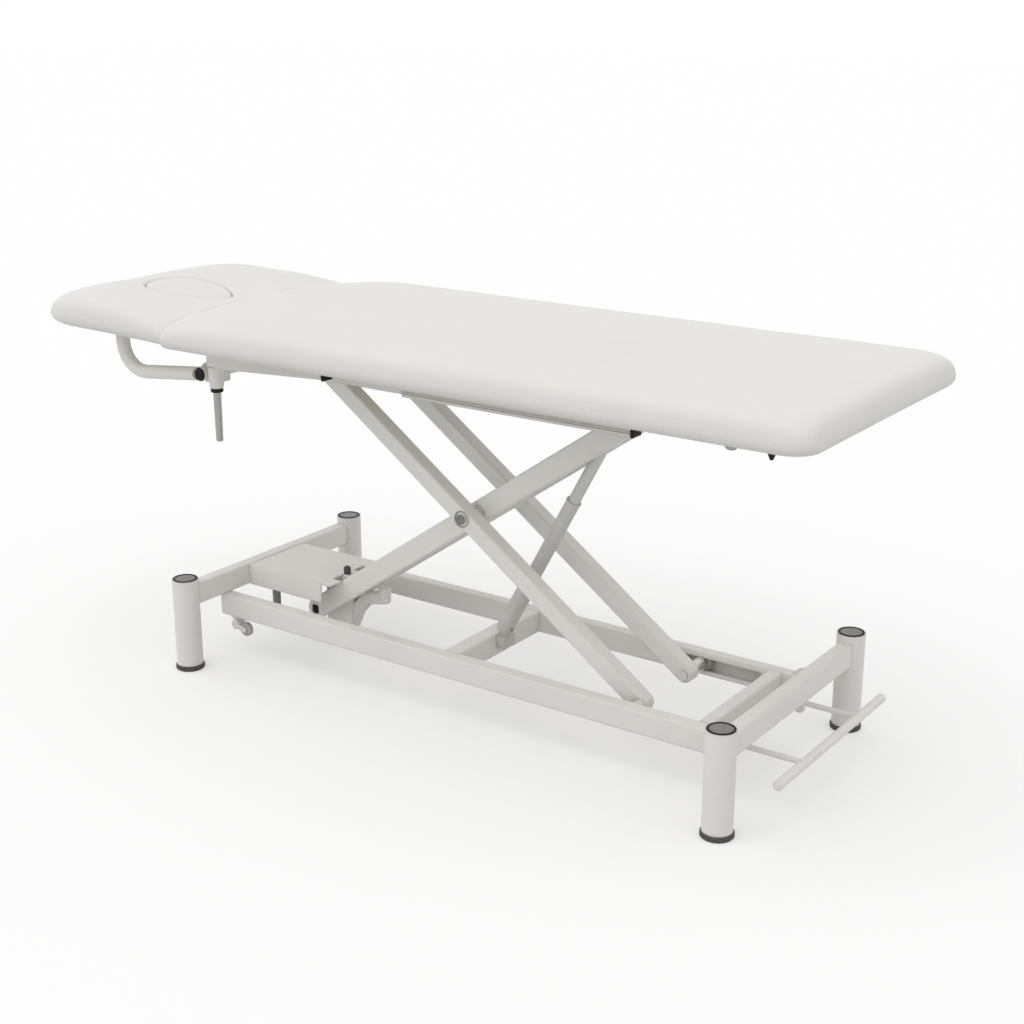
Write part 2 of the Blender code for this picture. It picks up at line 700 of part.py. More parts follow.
def arm(name, start, end, y, wide, tall, side, bores, carrier):
    """A hollow arm with round ends, soft edges and cross bores.

    Bores are (place, diameter, depth) triples.
    """
    y0, y1 = spread(y, wide, side)
    rings = []
    for depth, inset in [*ARM_EDGE, *((wide - depth, inset) for depth, inset in reversed(ARM_EDGE))]:
        radius = tall / 2 - inset
        rings.append([(x, y0 + depth, z) for x, z in capsule(start, end, radius, radius)])
    solid = finish(name, loft(rings), "powder_coat", carrier)
    c0, c1 = spread(y + ARM_WALL, wide - 2 * ARM_WALL, side)
    cut(solid, prism(capsule(start, end, tall / 2 - ARM_WALL, tall / 2 - ARM_WALL, 4), c0, c1))
    for place, dia, depth in bores:
        b0, b1 = spread(y - ARM_WALL, depth + 2 * ARM_WALL, side)
        cut(solid, across(place, b0, b1, dia / 2 + FIT, SMALL_ROUND))
    return solid


def build_inner_arms(carrier):
    along = (UPPER_ROLLER - LOWER_PIVOT).normalized()
    tail = LOWER_PIVOT - along * INNER_ARM_TAIL
    wide = INNER_ARM_WIDE
    bores = ((LOWER_PIVOT, SHAFT_DIA, ARM_WALL), (CENTRE_PIVOT, PIN_DIA, wide),
             (UPPER_ROLLER, PIN_DIA, wide), (CYLINDER_HEAD, PIN_DIA, ARM_WALL),
             (tail, TAIL_HOLE_DIA, wide))
    for side, sy in SIDES:
        arm(f"inner_arm_{side}", tail, UPPER_ROLLER, INNER_ARM_Y, wide, INNER_ARM_TALL, sy,
            bores, carrier)
    reach = INNER_ARM_Y + wide / 2
    finish("rod_eye_pin", across(CYLINDER_HEAD, -reach, reach, PIN_DIA / 2, chamfer=0.001), "zinc", carrier)
    roller_out = TOP_RAIL_Y + TOP_RAIL_WIDE - 2 * TUBE_WALL
    axle = axle_profile(INNER_ARM_OUT, TOP_RAIL_Y - TOP_RAIL_PLAY, roller_out)
    finish("top_roller_axle", turned(axle, UPPER_ROLLER, (0, 1, 0), SMALL_ROUND), "zinc", carrier)


def axle_profile(inner, outer, reach):
    """Half of a through axle's profile, mirrored: a spacer lies between arm and rail on each side."""
    pin, spacer = PIN_DIA / 2, SPACER_DIA / 2
    half = [(inner + FIT, pin), (inner + FIT, spacer), (outer, spacer), (outer, pin),
            (reach, pin), (reach, 0)]
    return [(-along, radius) for along, radius in reversed(half)] + half


def build_outer_arms(carrier):
    wide = OUTER_ARM_WIDE
    bores = ((UPPER_PIVOT, PIN_DIA, wide), (CENTRE_PIVOT, PIN_DIA, wide), (LOWER_ROLLER, PIN_DIA, wide))
    for side, sy in SIDES:
        arm(f"outer_arm_{side}", LOWER_ROLLER, UPPER_PIVOT, OUTER_ARM_Y, wide, OUTER_ARM_TALL, sy,
            bores, carrier)
        axle = turned(stub_profile(), LOWER_ROLLER, (0, sy, 0), SMALL_ROUND)
        finish(f"base_axle_{side}", axle, "zinc", carrier)
    reach = TOP_RAIL_Y + TOP_RAIL_WIDE / 2
    shaft = across(UPPER_PIVOT, -reach, reach, PIN_DIA / 2, SMALL_ROUND, 0.001)
    finish("upper_pivot_shaft", shaft, "zinc", carrier)
    finish("centre_shaft", turned(centre_profile(), CENTRE_PIVOT, (0, 1, 0)), "zinc", carrier)


def stub_profile():
    """A bolt from an outer arm's inner face, through a spacer, to the roller in the rail."""
    pin, head, spacer = PIN_DIA / 2, BOLT_HEAD_DIA / 2, SPACER_DIA / 2
    inner = OUTER_ARM_Y - FIT
    outer = OUTER_ARM_OUT + FIT
    seat = RAIL_INNER_Y - TOP_RAIL_PLAY
    reach = RAIL_INNER_Y + RAIL_WIDE - 2 * TUBE_WALL
    tip = inner - BOLT_HEAD_TALL
    return [(tip, 0), (tip, head), (inner, head), (inner, pin), (outer, pin), (outer, spacer),
            (seat, spacer), (seat, pin), (reach, pin), (reach, 0)]


def centre_profile():
    """The scissor's centre shaft: spacers between the arms, and a washer and bolt head at each end."""
    pin, spacer = PIN_DIA / 2, SPACER_DIA / 2
    start, stop = INNER_ARM_OUT + FIT, OUTER_ARM_Y - FIT
    face = OUTER_ARM_OUT + FIT
    washer = face + WASHER_THICK
    head = washer + BOLT_HEAD_TALL
    half = [(start, pin), (start, spacer), (stop, spacer), (stop, pin), (face, pin), (face, WASHER_DIA / 2),
            (washer, WASHER_DIA / 2), (washer, BOLT_HEAD_DIA / 2), (head, BOLT_HEAD_DIA / 2), (head, 0)]
    return [(-along, radius) for along, radius in reversed(half)] + half


def build_rollers():
    rollers = (("base_roller", LOWER_ROLLER, RAIL_INNER_Y + RAIL_WIDE / 2, BASE_ROLLER_DIA),
               ("top_roller", UPPER_ROLLER, TOP_RAIL_Y + TOP_RAIL_WIDE / 2, TOP_ROLLER_DIA))
    for name, place, y, dia in rollers:
        for side, sy in SIDES:
            carrier = joint_empty(f"{name}_{side}_axis", place + Vector((0, sy * y, 0)))
            half, radius, bore = ROLLER_WIDE / 2, dia / 2, PIN_DIA / 2 + FIT
            crown = radius - 0.001
            profile = [(-half, bore), (-half, crown), (-half + 0.002, radius), (half - 0.002, radius),
                       (half, crown), (half, bore)]
            finish(f"{name}_{side}", turned(profile, carrier.location, (0, 1, 0)), "nylon", carrier)


def along_cylinder(distance):
    return CYLINDER_FOOT + CYLINDER_AXIS * distance


def build_cylinder(barrel_carrier, rod_carrier):
    """The lift cylinder: a barrel forked at its foot, and a rod whose eye turns on the inner arms' pin."""
    bore = ROD_DIA / 2 + FIT
    step = BARREL_LOWER_END + 0.006
    gland = SLEEVE_END + GLAND_TALL
    profile = [(-BARREL_FOOT, 0), (-BARREL_FOOT, BARREL_DIA / 2), (BARREL_LOWER_END, BARREL_DIA / 2),
               (step, SLEEVE_DIA / 2), (SLEEVE_END, SLEEVE_DIA / 2), (SLEEVE_END, GLAND_DIA / 2),
               (gland, GLAND_DIA / 2), (gland, bore), (BARREL_FLOOR, bore), (BARREL_FLOOR, 0)]
    tube = turned(profile, CYLINDER_FOOT, CYLINDER_AXIS)
    barrel = finish("lift_barrel", tube, "cylinder_grey", barrel_carrier)
    slot = TONGUE_WIDE / 2 + FIT
    outline = capsule(along_cylinder(-2 * BARREL_FOOT), CYLINDER_FOOT, BARREL_DIA, BARREL_DIA / 2)
    cut(barrel, prism(outline, -slot, slot))
    reach = PIN_IN_FORK + FIT
    cut(barrel, across(CYLINDER_FOOT, -reach, reach, PIN_DIA / 2 + FIT, SMALL_ROUND))
    eye_start = CYLINDER_LENGTH - ROD_EYE_DIA / 2 + ROD_EYE_PLAY / 4
    stem = rod(along_cylinder(ROD_START), along_cylinder(eye_start), ROD_DIA / 2)
    shaft = finish("lift_rod", stem, "cylinder_grey", rod_carrier)
    eye = ROD_EYE_WIDE / 2
    join(shaft, across(CYLINDER_HEAD, -eye, eye, ROD_EYE_DIA / 2))
    cut(shaft, across(CYLINDER_HEAD, -ROD_EYE_WIDE, ROD_EYE_WIDE, PIN_DIA / 2 + ROD_EYE_PLAY))


def build_top_frame(carrier):
    """The two top rails: tracks for the upper rollers, each with a stepped chord below."""
    head = UPPER_PIVOT.x - TOP_RAIL_PAST_PIVOT
    foot = TOP_ROLLER_LIMITS[1] + TOP_RAIL_PAST_ROLLER
    wall = TUBE_WALL
    run = TOP_ROLLER_LIMITS
    size = (TOP_RAIL_WIDE, TOP_RAIL_TALL)
    slot_half = PIN_DIA / 2 + SLOT_PLAY
    for side, sy in SIDES:
        middle = (sy * (TOP_RAIL_Y + TOP_RAIL_WIDE / 2), TOP_RAIL_Z)
        tube = square_tube("X", head, foot, middle, TOP_RAIL_WIDE, TOP_RAIL_TALL, closed=True)
        rail = finish(f"top_rail_{side}", tube, "powder_coat", carrier)
        y0, y1 = spread(TOP_RAIL_Y, TOP_RAIL_WIDE, sy)
        join(rail, prism(chord_outline(), y0, y1))
        limits = (head + wall, foot - wall)
        for shape in track(limits, run, TOP_RAIL_Y, sy, TOP_RAIL_Z, UPPER_ROLLER.z, size, slot_half):
            cut(rail, shape)
        cut(rail, wall_hole(UPPER_PIVOT, TOP_RAIL_Y, sy))


def chord_outline():
    """The bar welded under a top rail: shallow towards the head, and deeper from its step on."""
    low = TOP_RAIL_Z - TOP_RAIL_TALL / 2
    head, step, foot = at(CHORD_HEAD), at(CHORD_STEP), at(CHORD_FOOT)
    shallow, deep, top = low - CHORD_SHALLOW, low - CHORD_TALL, low + TUBE_RADIUS
    return [(head, shallow), (step, shallow), (step, deep), (foot, deep), (foot, top), (head, top)]


def support_outline(inset):
    top = BOARD_BOTTOM - FIT - inset
    head = TILT_X + SUPPORT_PAST_TILT + inset
    foot = head + SUPPORT_LONG
    deep, shallow = BOARD_BOTTOM - SUPPORT_DEEP + inset, BOARD_BOTTOM - SUPPORT_SHALLOW + inset
    level = head + 2 * HEAD_TUBE_DIA
    return [(head, deep), (level, deep), (foot, shallow), (foot, top), (head, top)]


def build_supports(carrier):
    """The tapered bars under the body board, the clamp on the near one and the bearing on the far one."""
    wall = TUBE_WALL
    for side, sy in SIDES:
        y0, y1 = spread(SUPPORT_Y - SUPPORT_WIDE / 2, SUPPORT_WIDE, sy)
        bar = finish(f"support_bar_{side}", prism(support_outline(0), y0, y1), "powder_coat", carrier)
        cut(bar, prism(support_outline(wall), y0 + wall, y1 - wall))
        if side == "far":
            body, *others = clamp_shapes(sy, wall / 2)
            add_clamp(join(bar, body), others)
    body, *others = clamp_shapes(-1, -FIT)
    add_clamp(finish("head_clamp", body, "powder_coat", carrier), others)


def add_clamp(obj, shapes):
    for shape in shapes:
        join(obj, shape)
    cut(obj, across(TILT_AXIS, -BODY_WIDTH / 2, BODY_WIDTH / 2, HEAD_TUBE_DIA / 2 + FIT))


def clamp_shapes(side, into_bar):
    """A round body under a support bar, and beside it the web and ring that hold the tilt tube."""
    x = TILT_AXIS.x + CLAMP_OFFSET
    top = BOARD_BOTTOM - SUPPORT_DEEP + into_bar
    y = side * SUPPORT_Y
    radius = CLAMP_DIA / 2
    low = top - CLAMP_TALL
    profile = [(0, 0), (0, radius - 0.004), (0.003, radius - 0.002), (CLAMP_TALL, radius), (CLAMP_TALL, 0)]
    body = turned(profile, (x, y, low), (0, 0, 1))
    ring0 = SUPPORT_Y - HEAD_TUBE_DIA / 2 - 0.0015 - CLAMP_RING_WIDE
    y0, y1 = spread(ring0, CLAMP_RING_WIDE, side)
    half = CLAMP_RING_DIA / 2
    web_low = max(low + 0.004, TILT_AXIS.z - half * 0.7)
    web_high = min(top - 0.002, TILT_AXIS.z + half * 0.7)
    w0, w1 = spread(ring0 + 0.001, CLAMP_RING_WIDE + 0.006, side)
    web = box((TILT_AXIS.x + half * 0.6, w0, web_low), (x + 0.002, w1, web_high))
    return body, web, across(TILT_AXIS, y0, y1, half)


def build_underside(carrier):
    """The glide and the bumper under the foot end of the body board."""
    place = (FOOT_END - STOP_FROM_END, -SUPPORT_Y, BOARD_BOTTOM - FIT)
    half = STOP_DIA / 2
    profile = [(0, 0), (0, half), (STOP_TALL - half / 2, half), (STOP_TALL, half / 2), (STOP_TALL, 0)]
    finish("board_glide", turned(profile, place, (0, 0, -1)), "nylon", carrier)
    place = (FOOT_END - BUMPER_FROM_END, -SUPPORT_Y, BOARD_BOTTOM - FIT)
    half = BUMPER_DIA / 2
    profile = [(0, 0), (0, half), (BUMPER_TALL / 2, half), (BUMPER_TALL, half / 4), (BUMPER_TALL, 0)]
    finish("board_bumper", turned(profile, place, (0, 0, -1)), "black_plastic", carrier)


def corner_radius(radius, half, inset, opening):
    """A corner opens out with the inset, and a corner at the seam with its height too."""
    return min(radius + CORNER_SPREAD * inset + opening, CORNER_LIMIT * half)


def pad_outline(ends, widths, radii, inset, shares, openings, steps=ARC, side_steps=9):
    """A pad's plan: round corners, and sides that draw in a little between them.

    Each pair is for the head end and the foot end. The shares say how much of the inset an end takes.
    """
    x0, x1 = ends[0] + inset * shares[0], ends[1] - inset * shares[1]
    half0, half1 = (width / 2 - inset for width in widths)
    radius0 = corner_radius(radii[0], half0, inset, openings[0])
    radius1 = corner_radius(radii[1], half1, inset, openings[1])
    points = []
    corners = ((x1, half1, 1, radius1, 0), (x0, half0, 1, radius0, 1), (x0, half0, -1, radius0, 2),
               (x1, half1, -1, radius1, 3))
    for x, half, sy, radius, quarter in corners:
        sx = 1 if quarter in (0, 3) else -1
        centre = (x - sx * radius, sy * (half - radius))
        for step in range(steps + 1):
            angle = math.pi / 2 * (quarter + step / steps)
            points.append((centre[0] + radius * math.cos(angle), centre[1] + radius * math.sin(angle)))
        if quarter in (0, 2):
            start, stop = Vector((x1 - radius1, half1)), Vector((x0 + radius0, half0))
            if quarter == 2:
                start, stop = stop, start
            for step in range(1, side_steps):
                share = step / side_steps
                place = start.lerp(stop, share)
                points.append((place.x, sy * (place.y - SIDE_DRAW * math.sin(math.pi * share))))
    return points


# A pad's section: how far each ring lies in from the outline, and its share of the rise
PAD_SECTION = ((0.018, 0.0), (0.010, 0.035), (0.004, 0.11), (0.0008, 0.21), (0.0, 0.32), (0.0015, 0.48),
               (0.005, 0.64), (0.011, 0.775), (0.021, 0.885), (0.036, 0.950), (0.062, 0.985), (0.110, 1.0))


def pad(outline):
    """A crowned pad that wraps over the edge of the board it is fixed to."""
    low, high = BOARD_BOTTOM + PAD_LIP, BOARD_BOTTOM + PAD_RISE
    pocket = outline(BOARD_INSET - FIT)
    rings = [[(x, y, z) for x, y in pocket] for z in (BOARD_TOP + FIT, low)]
    for inset, share in PAD_SECTION:
        plan = outline(inset, SEAM_SHARE, SEAM_OPENING * share)
        rings.append([(x, y, low + share * (high - low)) for x, y in plan])
    return loft(rings)


def body_outline(inset, seam_share=1.0, opening=0.0):
    ends = (SEAM_X + SEAM_GAP / 2, FOOT_END)
    radii = (BODY_HEAD_RADIUS, BODY_FOOT_RADIUS)
    return pad_outline(ends, (BODY_WIDTH, BODY_WIDTH), radii, inset, (seam_share, 1.0), (opening, 0.0))


def head_outline(inset, seam_share=1.0, opening=0.0):
    ends = (HEAD_END, SEAM_X - SEAM_GAP / 2)
    radii = (HEAD_END_RADIUS, HEAD_SEAM_RADIUS)
    return pad_outline(ends, (HEAD_END_WIDTH, HEAD_WIDTH), radii, inset, (1.0, seam_share), (0.0, opening))


def face_outline(inset, steps=32):
    """The face hole's egg shape, narrow towards the body."""
    a, b = FACE_LENGTH / 2 - inset, FACE_WIDTH / 2 - inset
    points = []
    for i in range(steps):
        angle = 2 * math.pi * i / steps
        wide = b * (1 - FACE_TAPER * math.cos(angle))
        points.append((FACE_X + a * math.cos(angle), wide * math.sin(angle)))
    return points


def slab(points, z0, z1):
    return loft([[(x, y, z) for x, y in points] for z in (z0, z1)])


def build_body(carrier):
    finish("body_board", slab(body_outline(BOARD_INSET), BOARD_BOTTOM, BOARD_TOP), "plywood", carrier)
    finish("body_cushion", pad(body_outline), "vinyl", carrier, smooth=50)


def build_head(carrier):
    plate = slab(head_outline(BOARD_INSET), BOARD_BOTTOM, BOARD_TOP)
    board = finish("head_board", plate, "plywood", carrier)
    cut(board, slab(face_outline(FACE_LEDGE), BOARD_BOTTOM - PAD_RISE, BOARD_TOP + PAD_RISE))
    cushion = finish("head_cushion", pad(head_outline), "vinyl", carrier, smooth=50)
    cut(cushion, slab(face_outline(0.0), BOARD_BOTTOM - PAD_RISE, BOARD_TOP + 2 * PAD_RISE))
    for side, sy in SIDES:
        tube = finish(f"head_tube_{side}", head_tube(sy * SUPPORT_Y), "powder_coat", carrier)
        cut(tube, across(TILT_AXIS, -BODY_WIDTH / 2, BODY_WIDTH / 2, HEAD_TUBE_DIA / 2 + FIT))
    reach = SUPPORT_Y + PIVOT_TUBE_PROUD
    radius = HEAD_TUBE_DIA / 2
    bore = radius - HEAD_TUBE_WALL
    tilt = pipe((TILT_AXIS.x, -reach, TILT_AXIS.z), (TILT_AXIS.x, reach, TILT_AXIS.z), radius, bore)
    finish("tilt_tube", tilt, "powder_coat", carrier)


def head_tube(y):
    """A bent pipe from under the head board down, and then along and a little up to the tilt tube."""
    top_x = TILT_AXIS.x - HEAD_TUBE_REACH
    bend, slope = HEAD_TUBE_BEND, HEAD_TUBE_SLOPE
    centre_x = top_x + bend
    run_z = TILT_AXIS.z - math.tan(slope) * (TILT_AXIS.x - centre_x)
    centre_z = run_z + bend / math.cos(slope)
    path = [Vector((top_x, y, BOARD_BOTTOM - FIT))]
    for i in range(ARC + 1):
        angle = math.pi + (math.pi / 2 + slope) * i / ARC
        path.append(Vector((centre_x + bend * math.cos(angle), y, centre_z + bend * math.sin(angle))))
    path.append(Vector((TILT_AXIS.x, y, TILT_AXIS.z)))
    outer = swept_rings(path, HEAD_TUBE_DIA / 2)
    inner = swept_rings(path, HEAD_TUBE_DIA / 2 - HEAD_TUBE_WALL)
    return ring_loft(outer + inner[::-1])


def swept_rings(path, radius, steps=SMALL_ROUND):
    """Circles square to a path that lies in a plane of constant Y."""
    rings = []
    for i, point in enumerate(path):
        before, after = path[max(i - 1, 0)], path[min(i + 1, len(path) - 1)]
        tangent = (after - before).normalized()
        if i == 0:
            tangent = Vector((0, 0, -1))
        side = Vector((0, 1, 0))
        other = tangent.cross(side)
        angles = [2 * math.pi * k / steps for k in range(steps)]
        rings.append([point + radius * (math.cos(a) * side + math.sin(a) * other) for a in angles])
    return rings


def build_face_plug(carrier):
    low, high = BOARD_TOP + FIT, BOARD_BOTTOM + PAD_RISE
    section = ((0.0, 0.0), (0.0, 0.55), (0.0015, 0.80), (0.006, 0.93), (0.016, 1.0))
    rings = [(PLUG_PLAY + inset, low + share * (high - low)) for inset, share in section]
    shape = loft([[(x, y, z) for x, y in face_outline(inset)] for inset, z in rings])
    finish("face_plug", shape, "vinyl", carrier, smooth=50)


def build_lever(carrier):
    collar, radius = LEVER_COLLAR_DIA / 2, LEVER_DIA / 2
    long = LEVER_COLLAR_TALL + LEVER_TALL
    profile = [(0, 0), (0, collar), (LEVER_COLLAR_TALL, collar), (LEVER_COLLAR_TALL, radius),
               (long - 0.002, radius - 0.001), (long, radius - 0.003), (long, 0)]
    finish("clamp_lever", turned(profile, carrier.location, (0, 0, -1)), "zinc", carrier)


def build_pedal(carrier):
    """The foot bar, its two rods and the shaft they turn on, welded into one frame."""
    bar = carrier.location + Vector((PEDAL_REACH, 0, 0))
    half = PEDAL_BAR_LENGTH / 2
    foot_bar = across(bar, -half, half, PEDAL_BAR_DIA / 2, chamfer=0.002)
    frame = finish("pedal_frame", foot_bar, "powder_coat", carrier)
    for _, sy in SIDES:
        offset = Vector((0, sy * PEDAL_ROD_Y, 0))
        join(frame, rod(carrier.location + offset, bar + offset, PEDAL_ROD_DIA / 2, steps=SMALL_ROUND))
    reach = RAIL_INNER_Y + PIN_INTO_RAIL
    join(frame, across(carrier.location, -reach, reach, PIN_DIA / 2))


def build_castors():
    """A castor under each rail's head end: a fork with its eye, and a wheel between the cheeks."""
    wheel_y = RAIL_INNER_Y + RAIL_WIDE / 2
    half = CASTOR_WHEEL_WIDE / 2
    inner = half + CASTOR_CHEEK_PLAY
    outer = inner + CASTOR_CHEEK
    top = RAIL_BOTTOM - FIT
    eye = CASTOR_EYE_DIA / 2
    for side, sy in SIDES:
        y = sy * wheel_y
        low = (CASTOR_EYE.x - eye, y - outer, top - CASTOR_PLATE)
        plate = box(low, (CASTOR_WHEEL.x + eye, y + outer, top))
        fork = finish(f"castor_fork_{side}", plate, "powder_coat")
        low = (CASTOR_EYE.x - eye / 2, y - outer, CASTOR_EYE.z)
        join(fork, box(low, (CASTOR_EYE.x + eye / 2, y + outer, top)))
        join(fork, across(CASTOR_EYE, y - outer, y + outer, eye))
        cheek = capsule(CASTOR_EYE, CASTOR_WHEEL, eye / 2, CASTOR_AXLE_DIA)
        for y0 in (y - outer, y + inner):
            join(fork, prism(cheek, y0, y0 + CASTOR_CHEEK))
        join(fork, across(CASTOR_WHEEL, y - outer, y + outer, CASTOR_AXLE_DIA / 2, SMALL_ROUND))
        reach = CASTOR_WHEEL_DIA / 2 + CASTOR_CHEEK_PLAY
        middle, gap = CASTOR_WHEEL + Vector((0, y, 0)), Vector((0, inner, 0))
        cut(fork, pipe(middle - gap, middle + gap, reach, CASTOR_AXLE_DIA / 2))
        hub = joint_empty(f"castor_wheel_{side}_axis", middle)
        rim, bore = CASTOR_WHEEL_DIA / 2, CASTOR_AXLE_DIA / 2 + FIT
        profile = [(-half, bore), (-half, rim - 0.002), (-half + 0.002, rim), (half - 0.002, rim),
                   (half, rim - 0.002), (half, bore)]
        finish(f"castor_wheel_{side}", turned(profile, hub.location, (0, 1, 0)), "nylon", hub)


def main():
    clear_scene()
    build_posts()
    build_beams()
    build_rails()
    build_cross_members()
    build_clevis()
    build_tray()
    build_lower_shaft()
    build_tray_fittings()
    build_inner_arms(joint_empty("lift_axis", LOWER_PIVOT))
    build_outer_arms(joint_empty("scissor_axis", CENTRE_PIVOT))
    build_rollers()
    build_cylinder(joint_empty("barrel_axis", CYLINDER_FOOT), joint_empty("rod_axis", CYLINDER_HEAD))
    top = joint_empty("top_axis", UPPER_PIVOT)
    build_top_frame(top)
    build_supports(top)
    build_underside(top)
    build_body(top)
    build_head(joint_empty("head_axis", TILT_AXIS))
    build_face_plug(joint_empty("plug_axis", Vector((FACE_X, 0, BOARD_TOP))))
    lever_z = BOARD_BOTTOM - SUPPORT_DEEP - FIT - CLAMP_TALL - FIT
    build_lever(joint_empty("lever_axis", Vector((TILT_AXIS.x + CLAMP_OFFSET, -SUPPORT_Y, lever_z))))
    build_pedal(joint_empty("pedal_axis", PEDAL_AXIS))
    build_castors()


main()
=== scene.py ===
"""Looks of a height-adjustable massage table: upholstery, trim, finishes, light and camera."""
import json
import math

import bmesh
import bpy
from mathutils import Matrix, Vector, noise


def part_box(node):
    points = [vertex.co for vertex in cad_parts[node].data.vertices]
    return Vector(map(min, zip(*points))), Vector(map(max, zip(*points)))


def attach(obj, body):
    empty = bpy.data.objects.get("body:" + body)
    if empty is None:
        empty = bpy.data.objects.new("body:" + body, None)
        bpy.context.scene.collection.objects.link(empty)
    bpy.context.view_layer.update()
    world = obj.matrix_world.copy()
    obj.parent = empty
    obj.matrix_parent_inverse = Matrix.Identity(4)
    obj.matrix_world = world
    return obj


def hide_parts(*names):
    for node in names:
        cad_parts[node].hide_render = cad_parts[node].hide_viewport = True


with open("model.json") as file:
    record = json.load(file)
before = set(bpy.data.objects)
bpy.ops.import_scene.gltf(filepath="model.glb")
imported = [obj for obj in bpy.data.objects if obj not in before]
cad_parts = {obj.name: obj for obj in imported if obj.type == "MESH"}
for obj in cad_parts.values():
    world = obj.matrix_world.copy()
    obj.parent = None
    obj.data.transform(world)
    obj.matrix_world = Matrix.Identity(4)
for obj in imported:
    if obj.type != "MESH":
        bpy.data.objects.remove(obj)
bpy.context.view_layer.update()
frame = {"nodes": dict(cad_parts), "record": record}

# Camera, fitted to the photograph
CAMERA_PLACE = Vector((1.98013, -2.59425, 1.43515))
CAMERA_AZIMUTH = math.radians(35.088)
CAMERA_DOWN = math.radians(17.913)
CAMERA_LENS = 57.83
CAMERA_SENSOR = 36.0

# Light: the key sun's source is the direction that it comes from
WORLD_LEVEL = 0.80
FLOOR_COLOUR = (0.62, 0.62, 0.62, 1.0)
FLOOR_GLOW = 0.38
FLOOR_SIDE = 60.0
KEY_SOURCE = (-0.30, -0.40, 0.87)
KEY_SPREAD = math.radians(75.0)
KEY_LEVEL = 0.22

# Finishes: colours, and the radius at which shading softens the edges of metal
EDGE_SAMPLES = 4
SOFT_EDGE = 0.0045
PLATE_EDGE = SOFT_EDGE / 3
COAT = (0.840, 0.828, 0.792)
VINYL = (0.800, 0.786, 0.752)
CAP_GREY = (0.235, 0.233, 0.225)
FOOT_BLACK = (0.082, 0.081, 0.078)
PLUG_BLACK = (0.016, 0.016, 0.015)
ZINC = (0.66, 0.65, 0.63)
LEVER_GREY = (0.40, 0.395, 0.38)
NYLON = (0.50, 0.49, 0.465)
PLY_DARK = (0.60, 0.53, 0.44)
PLY_PALE = (0.74, 0.69, 0.61)
BARREL_GREY = (0.62, 0.61, 0.58)
SLEEVE_GREY = (0.58, 0.57, 0.55)
ROD_GREY = (0.74, 0.73, 0.70)
# The cylinder's shades lie along this length of it, at these shares of the length
SHADE_LENGTH = 0.5
SHADE_STOPS = ((0.0, BARREL_GREY), (0.27, BARREL_GREY), (0.29, SLEEVE_GREY), (0.9, ROD_GREY))

# Fineness of the meshes
WELD = 1e-6
ARC_STEPS = 14
SIDE_STEP = 0.018
SECTION_STEPS = 4
TOP_STEPS = 10
TOP_SHARES = [step / TOP_STEPS for step in range(1, TOP_STEPS + 1)]
TOP_LINE_STEPS = 6
FACE_PLUG_POINTS = 120
PLATE_STEPS = 6

# Upholstery: plans of the pads
FIT = 0.0003
CORNER_SPREAD = 0.8
CORNER_LIMIT = 0.75
SIDE_DRAW = 0.003
END_DRAW = 0.0015
SEAM_OPENING = 0.02
SEAM_SHARE = 0.12
SEAM_WIDE = 0.605
HEAD_END_WIDE = 0.560
BODY_HEAD_RADIUS, BODY_FOOT_RADIUS = 0.010, 0.040
HEAD_END_RADIUS, HEAD_SEAM_RADIUS = 0.125, 0.010
BOARD_INSET = 0.026
# The end (1 for the foot end) and the side of each corner in a plan, in the order of its outline
PLAN_CORNERS = ((1, 1), (0, 1), (0, -1), (1, -1))

# Upholstery: sections, as how far each ring lies in from the outline and its share of the rise
PAD_SECTION = (
    (0.018, 0.0), (0.010, 0.035), (0.004, 0.11), (0.0008, 0.21), (0.0, 0.32), (0.0015, 0.48),
    (0.005, 0.64), (0.011, 0.775), (0.021, 0.885), (0.036, 0.950), (0.062, 0.985), (0.095, 0.998),
)
PLUG_SECTION = (
    (0.0, 0.0), (0.0, 0.30), (0.0, 0.55), (0.0006, 0.72), (0.0020, 0.86), (0.0050, 0.945),
    (0.010, 0.982), (0.020, 0.998),
)
# How far the rings of a top close in on its middle, as a share
BODY_CLOSING, PLUG_CLOSING = 0.97, 0.98
CROWN = 0.0014
FOAM_WAVE, FOAM_WAVE_LENGTH = 0.0006, 0.16
# The head pad's top line: a share of the way from its head end to the seam, and the rise there
HEAD_TOP_LINE = (
    (0.0, -0.012), (0.11, -0.002), (0.27, 0.006), (0.55, 0.003), (0.78, -0.001), (1.0, -0.004),
)
CORNER_SINK, CORNER_SINK_LONG, CORNER_SINK_START = 0.011, 0.160, 0.080

# Upholstery: the face hole and its plug
FACE_SHIFT = 0.002
FACE_HALF_LONG, FACE_HALF_WIDE = 0.228 / 2, 0.154 / 2
FACE_TAPER = 0.28
FACE_DIP, FACE_DIP_SLOPE, FACE_DIP_REACH = 0.013, 0.050, 2.1
PLUG_PLAY = 0.001
# The hole's rolled edge: how far each ring lies out from the hole, and its drop from the top
FACE_LIP = (
    (0.012, 0.0), (0.0075, 0.0003), (0.0045, 0.0010), (0.0022, 0.0022), (0.0008, 0.0042), (0.0, 0.0080),
)

# Trim: bars and tubes
SIDES = (("near", -1), ("far", 1))
PLUG_THICK = 0.0060
PLUG_SOFT = 0.0012
CHORD_START_X, CHORD_END_X = -0.0111, 0.5135
CHORD_PLUG_WIDE, CHORD_PLUG_TALL, CHORD_PLUG_BELOW = 0.031, 0.0165, 0.002
CHORD_EDGE_SOFT = 0.0004
# A chord's edge strips: name, slot, how far each stands out, and its heights above the rail's foot
CHORD_EDGES = (
    ("chord_flange", "powder_coat", 0.0035, (0.0080, 0.0110)),
    # The second strip is painted shadow: a grey band that stands in for the shade under the flange.
    ("chord_shadow_strip", "grey_plastic", 0.0012, (0.0058, 0.0078)),
)
